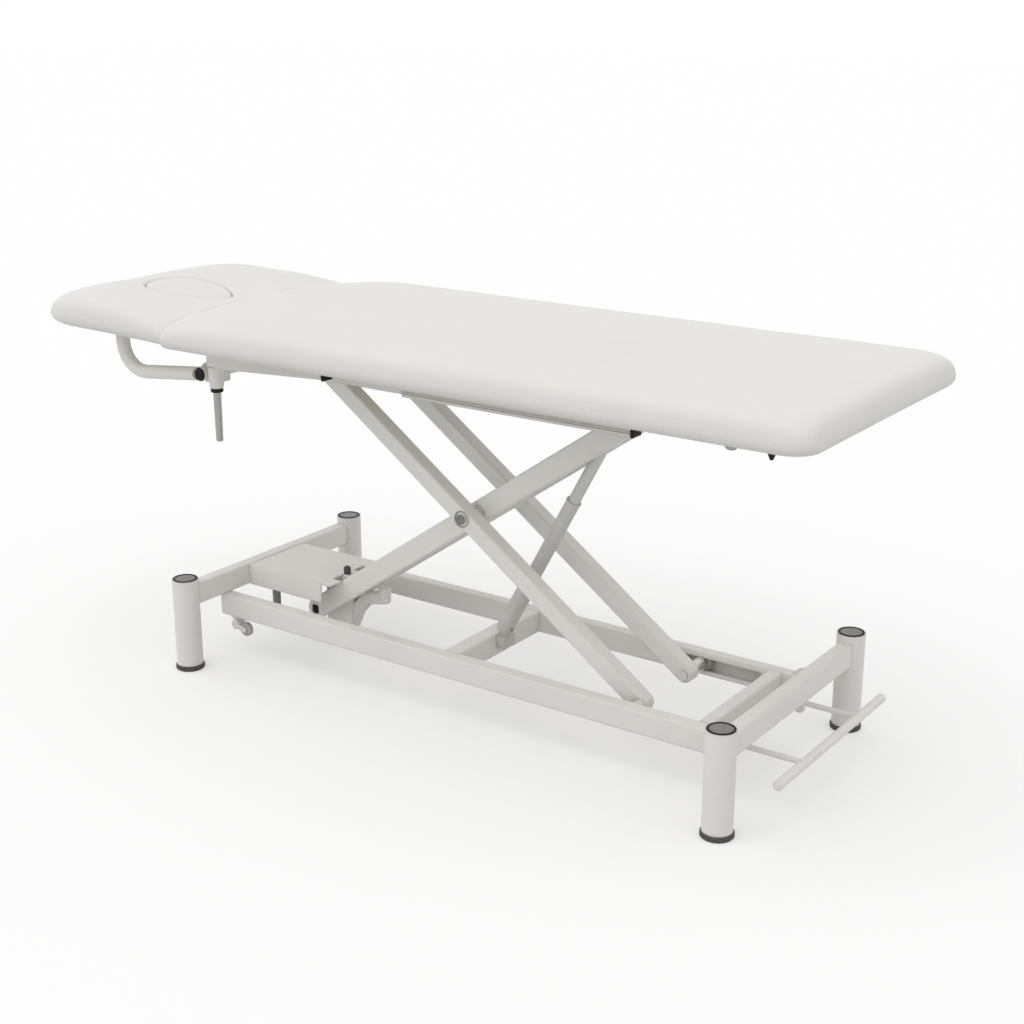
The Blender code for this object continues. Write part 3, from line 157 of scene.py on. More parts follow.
# The support bars and the head tubes lie this far from the middle
SUPPORT_Y = 0.2
SUPPORT_END_LOW = 0.6805
SUPPORT_PLUG_HALF = 0.0148
STOPPER_BEFORE_TILT = 0.0160
HEAD_TUBE_SLOPE = math.radians(6)
ARM_HALF = 0.023

# Trim: turned pieces, as distances along the axis and radii there
TILT_CAP_PROFILE = (
    (-0.006, 0.004), (-0.006, 0.0121), (FIT, 0.0121), (FIT, 0.0142), (0.0012, 0.0136), (0.0018, 0.0071),
    (0.0020, 0.001),
)
STOPPER_PROFILE = ((-0.004, 0.002), (-0.004, 0.0121), (-0.0005, 0.0121), (0.0, 0.0116), (0.0, 0.002))
CENTRE_CAP_PROFILE = (
    (FIT, 0.002), (FIT, 0.0106), (0.0006, 0.0106), (0.0010, 0.0096), (0.0010, 0.006), (0.0006, 0.0055),
    (0.0005, 0.001),
)
LEVER_PIN_PROFILE = ((0.0, 0.001), (0.0, 0.005), (0.015, 0.005), (0.016, 0.004), (0.016, 0.001))
# The painted-shadow ring under a post cap: its radii are counted from the cap's own radius
CAP_SHADE_RING_PROFILE = ((-0.0012, -0.004), (-0.0012, 0.0002), (0.0004, 0.0005), (0.0016, 0.0002), (0.0016, -0.004))
TURN_STEPS, RING_STEPS, RIM_STEPS = 40, 48, 64
# Rings: inner radius, outer radius, height and soft edge
CENTRE_RING = (0.0150, 0.0172, 0.0042, 0.0012)
COLLAR_RING = (0.0117, 0.0133, 0.0076, 0.001)
# The plug in an inner arm's tail: width, height, corner radius and thickness
TAIL_PLUG = (0.0175, 0.0205, 0.005, 0.0012)
PLATE_SOFT = 0.0005

# Places taken from the frame
body_low, body_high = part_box("body_cushion")
head_low, head_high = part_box("head_cushion")
plug_low, plug_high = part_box("face_plug")
board_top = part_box("body_board")[1].z
face_x = (plug_low.x + plug_high.x) / 2 + FACE_SHIFT


class Finish:
    """A material whose colour, roughness and bump vary with textures in the piece's own space."""

    def __init__(self, name, metallic=0.0, specular=0.5, sheen=0.0, soft_edge=0.0):
        self.material = bpy.data.materials.new(name)
        self.material.use_nodes = True
        self.tree = self.material.node_tree
        self.shader = self.tree.nodes["Principled BSDF"]
        self.shader.inputs["Metallic"].default_value = metallic
        self.shader.inputs["Specular IOR Level"].default_value = specular
        self.shader.inputs["Sheen Weight"].default_value = sheen
        self.place = self.tree.nodes.new("ShaderNodeTexCoord").outputs["Object"]
        if soft_edge:
            edge = self.tree.nodes.new("ShaderNodeBevel")
            edge.samples = EDGE_SAMPLES
            edge.inputs["Radius"].default_value = soft_edge
            self.tree.links.new(edge.outputs["Normal"], self.shader.inputs["Normal"])

    def stretched(self, stretch):
        """The piece's own space, scaled along each axis."""
        mapping = self.tree.nodes.new("ShaderNodeMapping")
        mapping.inputs["Scale"].default_value = stretch
        self.tree.links.new(self.place, mapping.inputs["Vector"])
        return mapping.outputs["Vector"]

    def noise(self, scale, detail=2.0, stretch=None):
        """A noise field with this many cycles in a metre."""
        texture = self.tree.nodes.new("ShaderNodeTexNoise")
        texture.inputs["Scale"].default_value = scale
        texture.inputs["Detail"].default_value = detail
        place = self.stretched(stretch) if stretch else self.place
        self.tree.links.new(place, texture.inputs["Vector"])
        return texture.outputs["Fac"]

    def cells(self, scale):
        """A field of small rounded cells, as in embossed vinyl."""
        texture = self.tree.nodes.new("ShaderNodeTexVoronoi")
        texture.feature = "SMOOTH_F1"
        texture.inputs["Scale"].default_value = scale
        self.tree.links.new(self.place, texture.inputs["Vector"])
        return texture.outputs["Distance"]

    def along(self, origin, axis):
        """The distance along an axis from a point, as a field."""
        shift = self.tree.nodes.new("ShaderNodeVectorMath")
        shift.operation = "SUBTRACT"
        shift.inputs[1].default_value = origin
        self.tree.links.new(self.place, shift.inputs[0])
        project = self.tree.nodes.new("ShaderNodeVectorMath")
        project.operation = "DOT_PRODUCT"
        project.inputs[1].default_value = axis
        self.tree.links.new(shift.outputs["Vector"], project.inputs[0])
        return project.outputs["Value"]

    def ramp(self, field, stops):
        """Colours at given values of a field."""
        ramp = self.tree.nodes.new("ShaderNodeValToRGB")
        elements = ramp.color_ramp.elements
        while len(elements) < len(stops):
            elements.new(0.5)
        for element, (position, colour) in zip(elements, stops):
            element.position = position
            element.color = (*colour, 1.0)
        self.tree.links.new(field, ramp.inputs["Fac"])
        return ramp.outputs["Color"]

    def shades(self, field, colour, dark, pale, start=0.3, stop=0.7):
        """A colour that goes from one tone to another with a field."""
        return self.ramp(field, ((start, toned(colour, dark)), (stop, toned(colour, pale))))

    def spread(self, field, low, high, start=0.3, stop=0.7):
        """A field brought to a range of values."""
        node = self.tree.nodes.new("ShaderNodeMapRange")
        for name, value in (("From Min", start), ("From Max", stop), ("To Min", low), ("To Max", high)):
            node.inputs[name].default_value = value
        self.tree.links.new(field, node.inputs["Value"])
        return node.outputs["Result"]

    def multiply(self, first, second):
        """The product of two colours."""
        mix = self.tree.nodes.new("ShaderNodeMix")
        mix.data_type = "RGBA"
        mix.blend_type = "MULTIPLY"
        mix.inputs["Factor"].default_value = 1.0
        self.tree.links.new(first, mix.inputs["A"])
        self.tree.links.new(second, mix.inputs["B"])
        return mix.outputs["Result"]

    def tint(self, colour):
        """Gives the surface its colour."""
        self.tree.links.new(colour, self.shader.inputs["Base Color"])

    def gloss(self, field, low, high):
        """Gives the surface a roughness that goes from low to high with a field."""
        self.tree.links.new(self.spread(field, low, high), self.shader.inputs["Roughness"])

    def relief(self, field, depth):
        """Bump from a field, on top of any bump or soft edge that is there."""
        bump = self.tree.nodes.new("ShaderNodeBump")
        bump.inputs["Strength"].default_value = 1.0
        bump.inputs["Distance"].default_value = depth
        self.tree.links.new(field, bump.inputs["Height"])
        normal = self.shader.inputs["Normal"]
        if normal.is_linked:
            self.tree.links.new(normal.links[0].from_socket, bump.inputs["Normal"])
        self.tree.links.new(bump.outputs["Normal"], normal)


def toned(colour, share):
    """A colour made darker or paler."""
    return tuple(channel * share for channel in colour)


def grey(level):
    """A neutral colour."""
    return (level, level, level)


def powder_coat():
    """Powder coat: a fine orange peel, faint drifts of tone and a satin gloss."""
    finish = Finish("powder_coat_paint", specular=0.45, soft_edge=SOFT_EDGE)
    drift = finish.noise(scale=7.0, detail=3.0)
    finish.tint(finish.shades(drift, COAT, dark=0.965, pale=1.02, start=0.25, stop=0.75))
    finish.gloss(finish.noise(scale=60.0), low=0.40, high=0.52)
    finish.relief(finish.noise(scale=650.0, detail=1.0), depth=0.00010)
    return finish.material


def vinyl():
    """Smooth upholstery vinyl: a small embossed grain with painted shade in its low pits, a soft sheen and
    faint drifts of tone.
    """
    finish = Finish("vinyl_cloth", specular=0.35, sheen=0.04)
    drift = finish.noise(scale=4.0, detail=3.0)
    base = finish.shades(drift, VINYL, dark=0.985, pale=1.01)
    grain = finish.cells(scale=620.0)
    # Painted shade: the grain's colour is darker where its bump is lowest.
    grain_pit_shade = finish.ramp(grain, ((0.0, grey(0.94)), (0.55, grey(1.0))))
    finish.tint(finish.multiply(base, grain_pit_shade))
    finish.gloss(finish.noise(scale=35.0, detail=3.0), low=0.46, high=0.58)
    finish.relief(grain, depth=0.00012)
    finish.relief(finish.noise(scale=210.0), depth=0.00015)
    return finish.material


def moulded(name, colour, low, high, depth=0.00010, specular=0.4):
    """Moulded plastic or rubber: a spark-eroded grain and small changes of gloss."""
    finish = Finish(name, specular=specular)
    speck = finish.noise(scale=420.0, detail=3.0)
    finish.tint(finish.shades(speck, colour, dark=0.86, pale=1.1))
    finish.gloss(finish.noise(scale=45.0), low, high)
    finish.relief(speck, depth)
    return finish.material


def plated(name, colour):
    """Zinc plate: fine upright lines and a cloudy gloss."""
    finish = Finish(name, metallic=1.0, soft_edge=PLATE_EDGE)
    lines = finish.noise(scale=55.0, detail=4.0, stretch=(9.0, 9.0, 1.0))
    finish.tint(finish.shades(lines, colour, dark=0.84, pale=1.08))
    finish.gloss(finish.noise(scale=80.0, detail=3.0), low=0.30, high=0.48)
    finish.relief(lines, depth=0.00006)
    return finish.material


def cylinder_paint():
    """The lift cylinder: one grey on the lower barrel, a darker one above it, paler towards the rod's eye."""
    finish = Finish("cylinder_paint", soft_edge=SOFT_EDGE)
    low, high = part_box("lift_barrel")
    rod_low, rod_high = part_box("lift_rod")
    foot = Vector(((low.x + high.x) / 2, 0.0, low.z))
    axis = (Vector((rod_high.x + rod_low.x, 0, rod_high.z + rod_low.z)) / 2 - foot).normalized()
    share = finish.spread(finish.along(foot, axis), low=0.0, high=1.0, start=0.0, stop=SHADE_LENGTH)
    drift = finish.noise(scale=30.0, detail=3.0)
    finish.tint(finish.multiply(finish.ramp(share, SHADE_STOPS), finish.shades(drift, grey(1.0), 0.94, 1.0)))
    finish.gloss(drift, low=0.30, high=0.42)
    finish.relief(finish.noise(scale=500.0, detail=1.0), depth=0.00006)
    return finish.material


def plywood():
    """Birch plywood: long grain, small pores and a dull seal."""
    finish = Finish("birch_ply", specular=0.3)
    grain = finish.noise(scale=26.0, detail=6.0, stretch=(0.35, 4.0, 4.0))
    pores = finish.noise(scale=220.0, stretch=(0.2, 3.0, 3.0))
    base = finish.ramp(grain, ((0.3, PLY_DARK), (0.7, PLY_PALE)))
    finish.tint(finish.multiply(base, finish.shades(pores, grey(1.0), dark=0.82, pale=1.0, stop=0.5)))
    finish.gloss(pores, low=0.60, high=0.72)
    finish.relief(pores, depth=0.00015)
    return finish.material


FINISHES = {
    "powder_coat": powder_coat(),
    "grey_plastic": moulded("cap_plastic", CAP_GREY, low=0.38, high=0.52),
    "rubber": moulded("foot_rubber", FOOT_BLACK, low=0.62, high=0.78, depth=0.00020),
    "zinc": plated("zinc_plate", ZINC),
    "nylon": moulded("roller_nylon", NYLON, low=0.40, high=0.52),
    "cylinder_grey": cylinder_paint(),
    "black_plastic": moulded("plug_plastic", PLUG_BLACK, low=0.45, high=0.60, specular=0.15),
    "vinyl": vinyl(),
    "plywood": plywood(),
}
OWN_FINISHES = {
    "clamp_lever": plated("lever_plate", LEVER_GREY),
    "tray_peg": FINISHES["grey_plastic"],
}


def dress_frame():
    """Each carried-over CAD node gets the finish of its slot in the record, or one of its own."""
    for part in frame["record"]["subparts"]:
        node = frame["nodes"][part["node"]]
        for holder in node.material_slots:
            holder.material = OWN_FINISHES.get(part["node"], FINISHES[part["material_slot"]])


def in_scene(name, data):
    """A new object in the scene that holds this data."""
    thing = bpy.data.objects.new(name, data)
    bpy.context.scene.collection.objects.link(thing)
    return thing


def mesh_data(name, mesh):
    """A finished mesh from a bmesh, which is freed."""
    data = bpy.data.meshes.new(name)
    mesh.to_mesh(data)
    mesh.free()
    return data


def mesh_piece(name, mesh, slot, body):
    """A new smooth piece from a bmesh, with its finish, riding on a body."""
    bmesh.ops.remove_doubles(mesh, verts=mesh.verts, dist=WELD)
    bmesh.ops.recalc_face_normals(mesh, faces=mesh.faces)
    data = mesh_data(name, mesh)
    data.shade_smooth()
    data.materials.append(FINISHES[slot])
    piece = in_scene(name, data)
    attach(piece, body)
    return piece


def skin(rings, closed=False):
    """A surface over rings with equal counts of points, capped at both ends unless it closes on itself."""
    mesh = bmesh.new()
    rows = [[mesh.verts.new(point) for point in ring] for ring in rings]
    count = len(rings[0])
    pairs = list(zip(rows, rows[1:]))
    if closed:
        pairs.append((rows[-1], rows[0]))
    for lower, upper in pairs:
        for i in range(count):
            j = (i + 1) % count
            mesh.faces.new((lower[i], lower[j], upper[j], upper[i]))
    if not closed:
        mesh.faces.new(rows[0])
        mesh.faces.new(rows[-1])
    return mesh


def fine_curve(points, steps):
    """Points on a smooth curve through the given ones."""
    last = len(points) - 1
    curve = []
    for i in range(last):
        places = [min(max(i + k, 0), last) for k in (-1, 0, 1, 2)]
        before, start, stop, after = (Vector(points[place]) for place in places)
        for step in range(steps):
            t = step / steps
            lean = (stop - before) * (t - 2 * t ** 2 + t ** 3) / 2 + (after - start) * (t ** 3 - t ** 2) / 2
            curve.append(start.lerp(stop, t * t * (3 - 2 * t)) + lean)
    curve.append(Vector(points[-1]))
    return curve


def corner_arc(centre, radius, quarter):
    """A round corner in plan: the given quarter of a circle."""
    angles = [math.pi / 2 * (quarter + step / ARC_STEPS) for step in range(ARC_STEPS + 1)]
    return [centre + radius * Vector((math.cos(a), math.sin(a))) for a in angles]


def drawn_side(start, stop, count, inward, draw):
    """The points between two corners, on a line that draws in towards its middle."""
    shares = [step / count for step in range(1, count)]
    return [start.lerp(stop, share) + inward * draw * math.sin(math.pi * share) for share in shares]


def pad_outline(ends, widths, radii, draws, inset, shares, openings):
    """A pad's plan with round corners, and sides and ends that draw in a little between them.

    Each pair is for the head end and the foot end. The shares say how much of the inset an end takes,
    and the openings are what its corners' radii gain.
    """
    x = [ends[0] + inset * shares[0], ends[1] - inset * shares[1]]
    half = [width / 2 - inset for width in widths]
    radius = [min(r + CORNER_SPREAD * inset + gain, CORNER_LIMIT * h)
              for r, h, gain in zip(radii, half, openings)]
    arcs = []
    for quarter, (end, sy) in enumerate(PLAN_CORNERS):
        sx = 1 if end else -1
        centre = Vector((x[end] - sx * radius[end], sy * (half[end] - radius[end])))
        arcs.append(corner_arc(centre, radius[end], quarter))
    side_count = round((ends[1] - ends[0]) / SIDE_STEP)
    end_count = round(widths[0] / SIDE_STEP)
    lines = (
        (side_count, (0, -1), SIDE_DRAW),
        (end_count, (1, 0), draws[0]),
        (side_count, (0, 1), SIDE_DRAW),
        (end_count, (-1, 0), draws[1]),
    )
    points = []
    for arc, following, (count, inward, draw) in zip(arcs, arcs[1:] + arcs[:1], lines):
        points += arc + drawn_side(arc[-1], following[0], count, Vector(inward), draw)
    return points


def body_plan(inset, share=1.0, opening=0.0):
    """The long pad's plan, which meets the seam at its head end."""
    wide = body_high.y - body_low.y
    return pad_outline((body_low.x, body_high.x), (wide, wide), (BODY_HEAD_RADIUS, BODY_FOOT_RADIUS),
                       (0.0, END_DRAW), inset, (share, 1.0), (opening, 0.0))


def head_plan(inset, share=1.0, opening=0.0):
    """The head pad's plan, which meets the seam at its foot end."""
    return pad_outline((head_low.x, head_high.x), (HEAD_END_WIDE, SEAM_WIDE),
                       (HEAD_END_RADIUS, HEAD_SEAM_RADIUS), (END_DRAW, 0.0), inset,
                       (1.0, share), (0.0, opening))


def face_point(angle, inset):
    """A point of the face hole's egg shape, narrow towards the body."""
    wide = (FACE_HALF_WIDE - inset) * (1 - FACE_TAPER * math.cos(angle))
    return Vector((face_x + (FACE_HALF_LONG - inset) * math.cos(angle), wide * math.sin(angle)))


def raised(plan, z):
    """A plan's points at a height."""
    return [(point[0], point[1], z) for point in plan]


def foam(point, amount=FOAM_WAVE):
    """A small slow unevenness, as of vinyl drawn over foam."""
    wave = noise.noise(Vector(point) / FOAM_WAVE_LENGTH)
    return Vector(point) + Vector((0, 0, amount * wave))


def eased(share):
    """A share kept between nought and one, with soft ends."""
    share = min(max(share, 0.0), 1.0)
    return share * share * (3 - 2 * share)


def crown_rise(share):
    """The rise of a top at a share of the way from its edge to its middle."""
    return CROWN * math.sin(math.pi / 2 * share)


head_line = fine_curve(HEAD_TOP_LINE, TOP_LINE_STEPS)


def head_top_rise(x):
    """How far the head pad's top lies above its level at a place along it."""
    share = (x - head_low.x) / (head_high.x - head_low.x)
    for start, stop in zip(head_line, head_line[1:]):
        if share <= stop[0]:
            return start[1] + (stop[1] - start[1]) * max(share - start[0], 0.0) / (stop[0] - start[0])
    return head_line[-1][1]


def face_dip(x, y):
    """How far the upholstery sinks at and round the face hole."""
    reach = math.hypot((x - face_x) / FACE_HALF_LONG, y / FACE_HALF_WIDE)
    depth = FACE_DIP + FACE_DIP_SLOPE * (x - face_x)
    return depth * eased((FACE_DIP_REACH - reach) / (FACE_DIP_REACH - 1))


def corner_sink(x, y):
    """How far a pad's top sinks towards its two corners at the seam."""
    along = eased(1 - abs(x - head_high.x) / CORNER_SINK_LONG)
    across = eased((abs(y) - CORNER_SINK_START) / (SEAM_WIDE / 2 - CORNER_SINK_START))
    return CORNER_SINK * along * across


def moved_by_height(point, shift):
    """A point of the upholstery, with all of the shift at the pad's top and none at its board."""
    x, y, z = point
    return (x, y, z + shift * eased((z - board_top - FIT) / (head_high.z - board_top - FIT)))


def crowned(rings):
    """The head section's upholstery, moved with the shape of the head pad's top."""
    def moved(point):
        x, y = point[0], point[1]
        return moved_by_height(point, head_top_rise(x) - face_dip(x, y) - corner_sink(x, y))
    return [[moved(point) for point in ring] for ring in rings]


def settled(rings):
    """The long pad's upholstery, moved with the shape of its top."""
    return [[moved_by_height(point, -corner_sink(point[0], point[1])) for point in ring] for ring in rings]


def pad_rings(plan, low, high):
    """The rings of a pad from its pocket over the board, round the edge and up to the flat of its top."""
    rings = [raised(plan(BOARD_INSET - FIT), z) for z in (board_top + FIT, low)]
    for inset, share in fine_curve(PAD_SECTION, SECTION_STEPS):
        ring = raised(plan(max(inset, 0.0), SEAM_SHARE, SEAM_OPENING * share), low + share * (high - low))
        rings.append([foam(point, FOAM_WAVE * share) for point in ring])
    return rings


def build_body_pad():
    """The long pad: a crowned form over its board, with a flat pocket below."""
    rings = pad_rings(body_plan, body_low.z, body_high.z)
    start = PAD_SECTION[-1][0]
    reach = (body_high.y - body_low.y) / 2 - start
    for share in TOP_SHARES:
        plan = body_plan(start + reach * BODY_CLOSING * share, SEAM_SHARE, SEAM_OPENING)
        rings.append([foam(point) for point in raised(plan, body_high.z + crown_rise(share))])
    pad = mesh_piece("body_pad", skin(settled(rings)), "vinyl", "top")
    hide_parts("body_cushion")


def build_head_pad():
    """The head pad: the same section, with the rolled edge of the face hole through it."""
    rings = pad_rings(head_plan, head_low.z, head_high.z)
    outer = rings[-1]
    angles = [math.atan2(p[1] / FACE_HALF_WIDE, (p[0] - face_x) / FACE_HALF_LONG) for p in outer]
    inner = [face_point(angle, -FACE_LIP[0][0]) for angle in angles]
    for share in TOP_SHARES[:-1]:
        ring = []
        for start, stop in zip(outer, inner):
            place = Vector(start[:2]).lerp(stop, share)
            ring.append(foam((place.x, place.y, start[2] * (1 - share) + head_high.z * share)))
        rings.append(ring)
    for out, drop in FACE_LIP:
        rings.append(raised([face_point(angle, -out) for angle in angles], head_high.z - drop))
    rings.append(raised([face_point(angle, 0.0) for angle in angles], board_top + FIT))
    pad = mesh_piece("head_pad", skin(crowned(rings), closed=True), "vinyl", "head_section")
    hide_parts("head_cushion")


def build_face_pad():
    """The plug that fills the face hole: an egg-shaped cushion of its own."""
    angles = [2 * math.pi * i / FACE_PLUG_POINTS for i in range(FACE_PLUG_POINTS)]
    low, high = plug_low.z, plug_high.z
    rings = []
    for inset, share in fine_curve(PLUG_SECTION, SECTION_STEPS):
        plan = [face_point(angle, PLUG_PLAY + inset) for angle in angles]
        rings.append(raised(plan, low + share * (high - low)))
    start = PLUG_PLAY + PLUG_SECTION[-1][0]
    reach = FACE_HALF_WIDE - start
    for share in TOP_SHARES:
        plan = [face_point(angle, start + PLUG_CLOSING * reach * share) for angle in angles]
        rings.append(raised(plan, high + crown_rise(share)))
    pad = mesh_piece("face_pad", skin(crowned(rings)), "vinyl", "face_plug")
    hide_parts("face_plug")


def lathe(profile, origin, axis, steps=TURN_STEPS, closed=False):
    """A solid of revolution. The profile holds (distance along the axis, radius) pairs."""
    axis = Vector(axis).normalized()
    side = axis.orthogonal().normalized()
    other = axis.cross(side)
    angles = [2 * math.pi * i / steps for i in range(steps)]
    rings = []
    for along, radius in profile:
        centre = Vector(origin) + axis * along
        rings.append([centre + radius * (math.cos(a) * side + math.sin(a) * other) for a in angles])
    return skin(rings, closed)


def hoop(inner, outer, tall, soft):
    """The profile of a ring with soft edges on its outer end."""
    return [(0, inner), (0, outer), (tall - soft, outer), (tall, outer - soft), (tall, inner + soft),
            (tall - soft, inner)]


def rounded_plate(centre, wide, tall, corner, thick, sy):
    """A plate with round corners on a face that looks along Y."""
    rings = []
    for depth, inset in ((0, 0), (thick - PLATE_SOFT, 0), (thick, PLATE_SOFT)):
        ring = []
        for quarter, (sx, sz) in enumerate(((1, 1), (-1, 1), (-1, -1), (1, -1))):
            for step in range(PLATE_STEPS + 1):
                angle = math.pi / 2 * (quarter + step / PLATE_STEPS)
                x = sx * (wide / 2 - corner) + (corner - inset) * math.cos(angle)
                z = sz * (tall / 2 - corner) + (corner - inset) * math.sin(angle)
                ring.append((centre[0] + x, centre[1] + sy * depth, centre[2] + z))
        rings.append(ring)
    return skin(rings)


def soft_block(low, high, radius, segments=3):
    """A box with rounded edges."""
    mesh = bmesh.new()
    bmesh.ops.create_cube(mesh, size=1.0)
    low, high = Vector(low), Vector(high)
    for vert in mesh.verts:
        vert.co = Vector(low[k] if vert.co[k] < 0 else high[k] for k in range(3))
    bmesh.ops.bevel(mesh, geom=mesh.edges[:], offset=radius, segments=segments, affect="EDGES", profile=0.5)
    return mesh


def side_face(low, high, sy):
    """Where a box's face on one side lies along Y."""
    return low.y if sy < 0 else high.y


def build_tilt_caps():
    """Domed black caps in the ends of the tilt tube."""
    low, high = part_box("tilt_tube")
    x, z = (low.x + high.x) / 2, (low.z + high.z) / 2
    for side, sy in SIDES:
        mesh = lathe(TILT_CAP_PROFILE, (x, side_face(low, high, sy), z), (0, sy, 0))
        mesh_piece(f"tilt_cap_{side}", mesh, "black_plastic", "head_section")


def build_tube_stoppers():
    """Painted stoppers in the head tubes' ends, which stand open beside the tilt tube's ends."""
    low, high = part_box("tilt_tube")
    slope = math.tan(HEAD_TUBE_SLOPE)
    x = (low.x + high.x) / 2 - STOPPER_BEFORE_TILT
    z = (low.z + high.z) / 2 - slope * STOPPER_BEFORE_TILT
    for side, sy in SIDES:
        mesh = lathe(STOPPER_PROFILE, (x, sy * SUPPORT_Y, z), (1, 0, slope))
        mesh_piece(f"tube_stopper_{side}", mesh, "powder_coat", "head_section")


def end_plug(name, x, y, half_wide, low, high):
    """A black plug on the foot end of a bar."""
    mesh = soft_block((x + FIT, y - half_wide, low), (x + PLUG_THICK, y + half_wide, high), PLUG_SOFT)
    mesh_piece(name, mesh, "black_plastic", "top")


def build_tube_plugs():
    """Plugs on the foot ends of the chords under the top rails and of the support bars."""
    for side, sy in SIDES:
        low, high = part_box(f"top_rail_{side}")
        middle = (low.y + high.y) / 2
        foot = low.z - CHORD_PLUG_BELOW
        end_plug(f"chord_plug_{side}", CHORD_END_X, middle, CHORD_PLUG_WIDE / 2, foot, foot + CHORD_PLUG_TALL)
        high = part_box(f"support_bar_{side}")[1]
        end_plug(f"support_plug_{side}", high.x, sy * SUPPORT_Y, SUPPORT_PLUG_HALF,
                 SUPPORT_END_LOW, high.z - FIT)


def build_arm_trim():
    """Rings and dark caps at the scissor's centre bolt, and the square plugs in the inner arms' tails."""
    low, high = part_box("centre_shaft")
    x, z = (low.x + high.x) / 2, (low.z + high.z) / 2
    for side, sy in SIDES:
        outward = (0, sy, 0)
        face = side_face(*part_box(f"outer_arm_{side}"), sy)
        mesh = lathe(hoop(*CENTRE_RING), (x, face + sy * FIT, z), outward, RING_STEPS, closed=True)
        mesh_piece(f"centre_ring_{side}", mesh, "powder_coat", "outer_arms")
        mesh = lathe(CENTRE_CAP_PROFILE, (x, side_face(low, high, sy), z), outward)
        mesh_piece(f"centre_cap_{side}", mesh, "grey_plastic", "outer_arms")
        arm_low, arm_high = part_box(f"inner_arm_{side}")
        face = side_face(arm_low, arm_high, sy)
        tail = (arm_low.x + ARM_HALF, face + sy * FIT, arm_low.z + ARM_HALF)
        mesh = rounded_plate(tail, *TAIL_PLUG, sy)
        mesh_piece(f"tail_plug_{side}", mesh, "black_plastic", "inner_arms")


def build_lever_trim():
    """The black ring round the top of the clamp lever, and the pin that runs up into the clamp."""
    low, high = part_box("clamp_lever")
    place = ((low.x + high.x) / 2, (low.y + high.y) / 2, high.z - FIT)
    mesh = lathe(hoop(*COLLAR_RING), place, (0, 0, -1), closed=True)
    mesh_piece("lever_collar", mesh, "black_plastic", "clamp_lever")
    mesh_piece("lever_pin", lathe(LEVER_PIN_PROFILE, place, (0, 0, 1)), "zinc", "clamp_lever")


def build_chord_edges():
    """The flange along each chord's side, and a grey strip under it as painted shadow."""
    for side, sy in SIDES:
        low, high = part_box(f"top_rail_{side}")
        face = side_face(low, high, sy)
        for name, slot, proud, (foot, top) in CHORD_EDGES:
            inner, outer = sorted((face + sy * FIT, face + sy * proud))
            mesh = soft_block((CHORD_START_X, inner, low.z + foot), (CHORD_END_X, outer, low.z + top),
                              CHORD_EDGE_SOFT, segments=2)
            mesh_piece(f"{name}_{side}", mesh, slot, "top")


def build_cap_shade_rings():
    """A black ring between each post and its cap, as painted shadow of the gap there."""
    for end in ("head", "foot"):
        for side, _ in SIDES:
            low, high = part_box(f"post_cap_{end}_{side}")
            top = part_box(f"post_{end}_{side}")[1].z
            radius = (high.x - low.x) / 2
            profile = [(along, radius + out) for along, out in CAP_SHADE_RING_PROFILE]
            place = ((low.x + high.x) / 2, (low.y + high.y) / 2, top)
            mesh = lathe(profile, place, (0, 0, 1), RIM_STEPS, closed=True)
            # Black ring as painted shadow in the gap where the cap meets the post.
            mesh_piece(f"cap_shade_ring_{end}_{side}", mesh, "black_plastic", "base")


def seen_directly(tree):
    """One for camera, glossy and transmission rays, and nought for the rest."""
    path = tree.nodes.new("ShaderNodeLightPath")
    seen = path.outputs["Is Camera Ray"]
    for name in ("Is Glossy Ray", "Is Transmission Ray"):
        either = tree.nodes.new("ShaderNodeMath")
        either.operation = "MAXIMUM"
        tree.links.new(seen, either.inputs[0])
        tree.links.new(path.outputs[name], either.inputs[1])
        seen = either.outputs["Value"]
    return seen


def floor_finish():
    """A pale floor that reads as white where it is seen, and keeps the object's shadow."""
    material = bpy.data.materials.new("floor_paint")
    material.use_nodes = True
    tree = material.node_tree
    tree.nodes.clear()
    diffuse = tree.nodes.new("ShaderNodeBsdfDiffuse")
    diffuse.inputs["Color"].default_value = FLOOR_COLOUR
    glow = tree.nodes.new("ShaderNodeEmission")
    scale = tree.nodes.new("ShaderNodeMath")
    scale.operation = "MULTIPLY"
    scale.inputs[1].default_value = FLOOR_GLOW
    tree.links.new(seen_directly(tree), scale.inputs[0])
    tree.links.new(scale.outputs["Value"], glow.inputs["Strength"])
    both = tree.nodes.new("ShaderNodeAddShader")
    tree.links.new(diffuse.outputs["BSDF"], both.inputs[0])
    tree.links.new(glow.outputs["Emission"], both.inputs[1])
    output = tree.nodes.new("ShaderNodeOutputMaterial")
    tree.links.new(both.outputs["Shader"], output.inputs["Surface"])
    return material


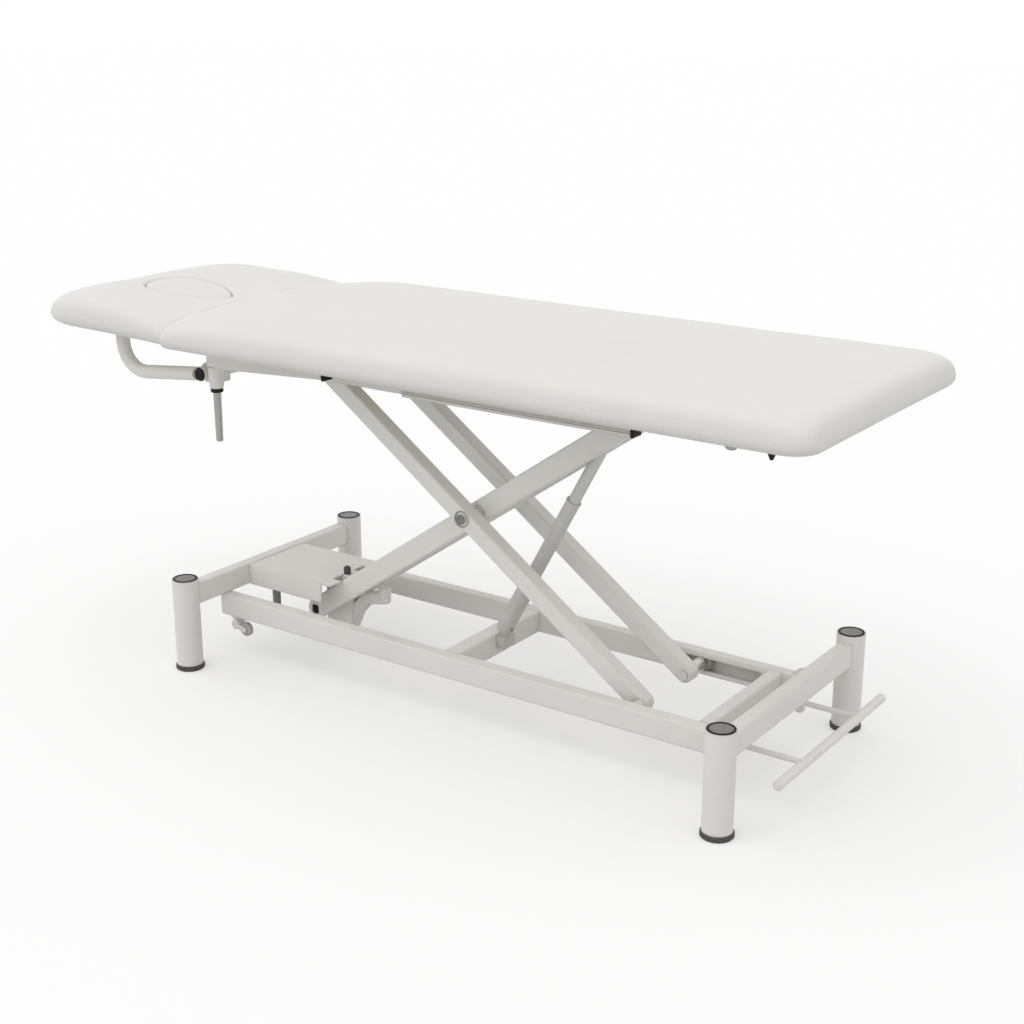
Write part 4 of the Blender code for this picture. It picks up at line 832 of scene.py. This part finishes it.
def build_floor():
    """A wide square at floor level."""
    mesh = bmesh.new()
    half = FLOOR_SIDE / 2
    corners = ((-half, -half, 0.0), (half, -half, 0.0), (half, half, 0.0), (-half, half, 0.0))
    mesh.faces.new([mesh.verts.new(corner) for corner in corners])
    floor = in_scene("floor", mesh_data("floor", mesh))
    floor.data.materials.append(floor_finish())


def build_world():
    """White where it is seen, and a plain soft level as light."""
    world = bpy.data.worlds.new("studio")
    bpy.context.scene.world = world
    world.use_nodes = True
    tree = world.node_tree
    level = tree.nodes.new("ShaderNodeMapRange")
    level.inputs["To Min"].default_value = WORLD_LEVEL
    level.inputs["To Max"].default_value = 1.0
    tree.links.new(seen_directly(tree), level.inputs["Value"])
    background = tree.nodes["Background"]
    background.inputs["Color"].default_value = (1.0, 1.0, 1.0, 1.0)
    tree.links.new(level.outputs["Result"], background.inputs["Strength"])


def aimed(thing, direction):
    """Turns a lamp or a camera to look along a direction."""
    thing.rotation_euler = direction.to_track_quat("-Z", "Y").to_euler()


def build_lamp():
    """One broad sun, for soft shadows."""
    lamp = bpy.data.lights.new("key", "SUN")
    lamp.angle = KEY_SPREAD
    lamp.energy = KEY_LEVEL * math.pi
    aimed(in_scene("key", lamp), -Vector(KEY_SOURCE))


def build_camera():
    """The photograph's view."""
    camera = bpy.data.cameras.new("camera")
    camera.lens = CAMERA_LENS
    camera.sensor_width = CAMERA_SENSOR
    holder = in_scene("camera", camera)
    holder.location = CAMERA_PLACE
    level = math.cos(CAMERA_DOWN)
    forward = (-math.sin(CAMERA_AZIMUTH) * level, math.cos(CAMERA_AZIMUTH) * level, -math.sin(CAMERA_DOWN))
    aimed(holder, Vector(forward))
    bpy.context.scene.camera = holder


dress_frame()
build_body_pad()
build_head_pad()
build_face_pad()
build_tilt_caps()
build_tube_stoppers()
build_tube_plugs()
build_arm_trim()
build_lever_trim()
build_chord_edges()
build_cap_shade_rings()
build_floor()
build_world()
build_lamp()
build_camera()
bpy.context.scene.view_settings.view_transform = "Standard"
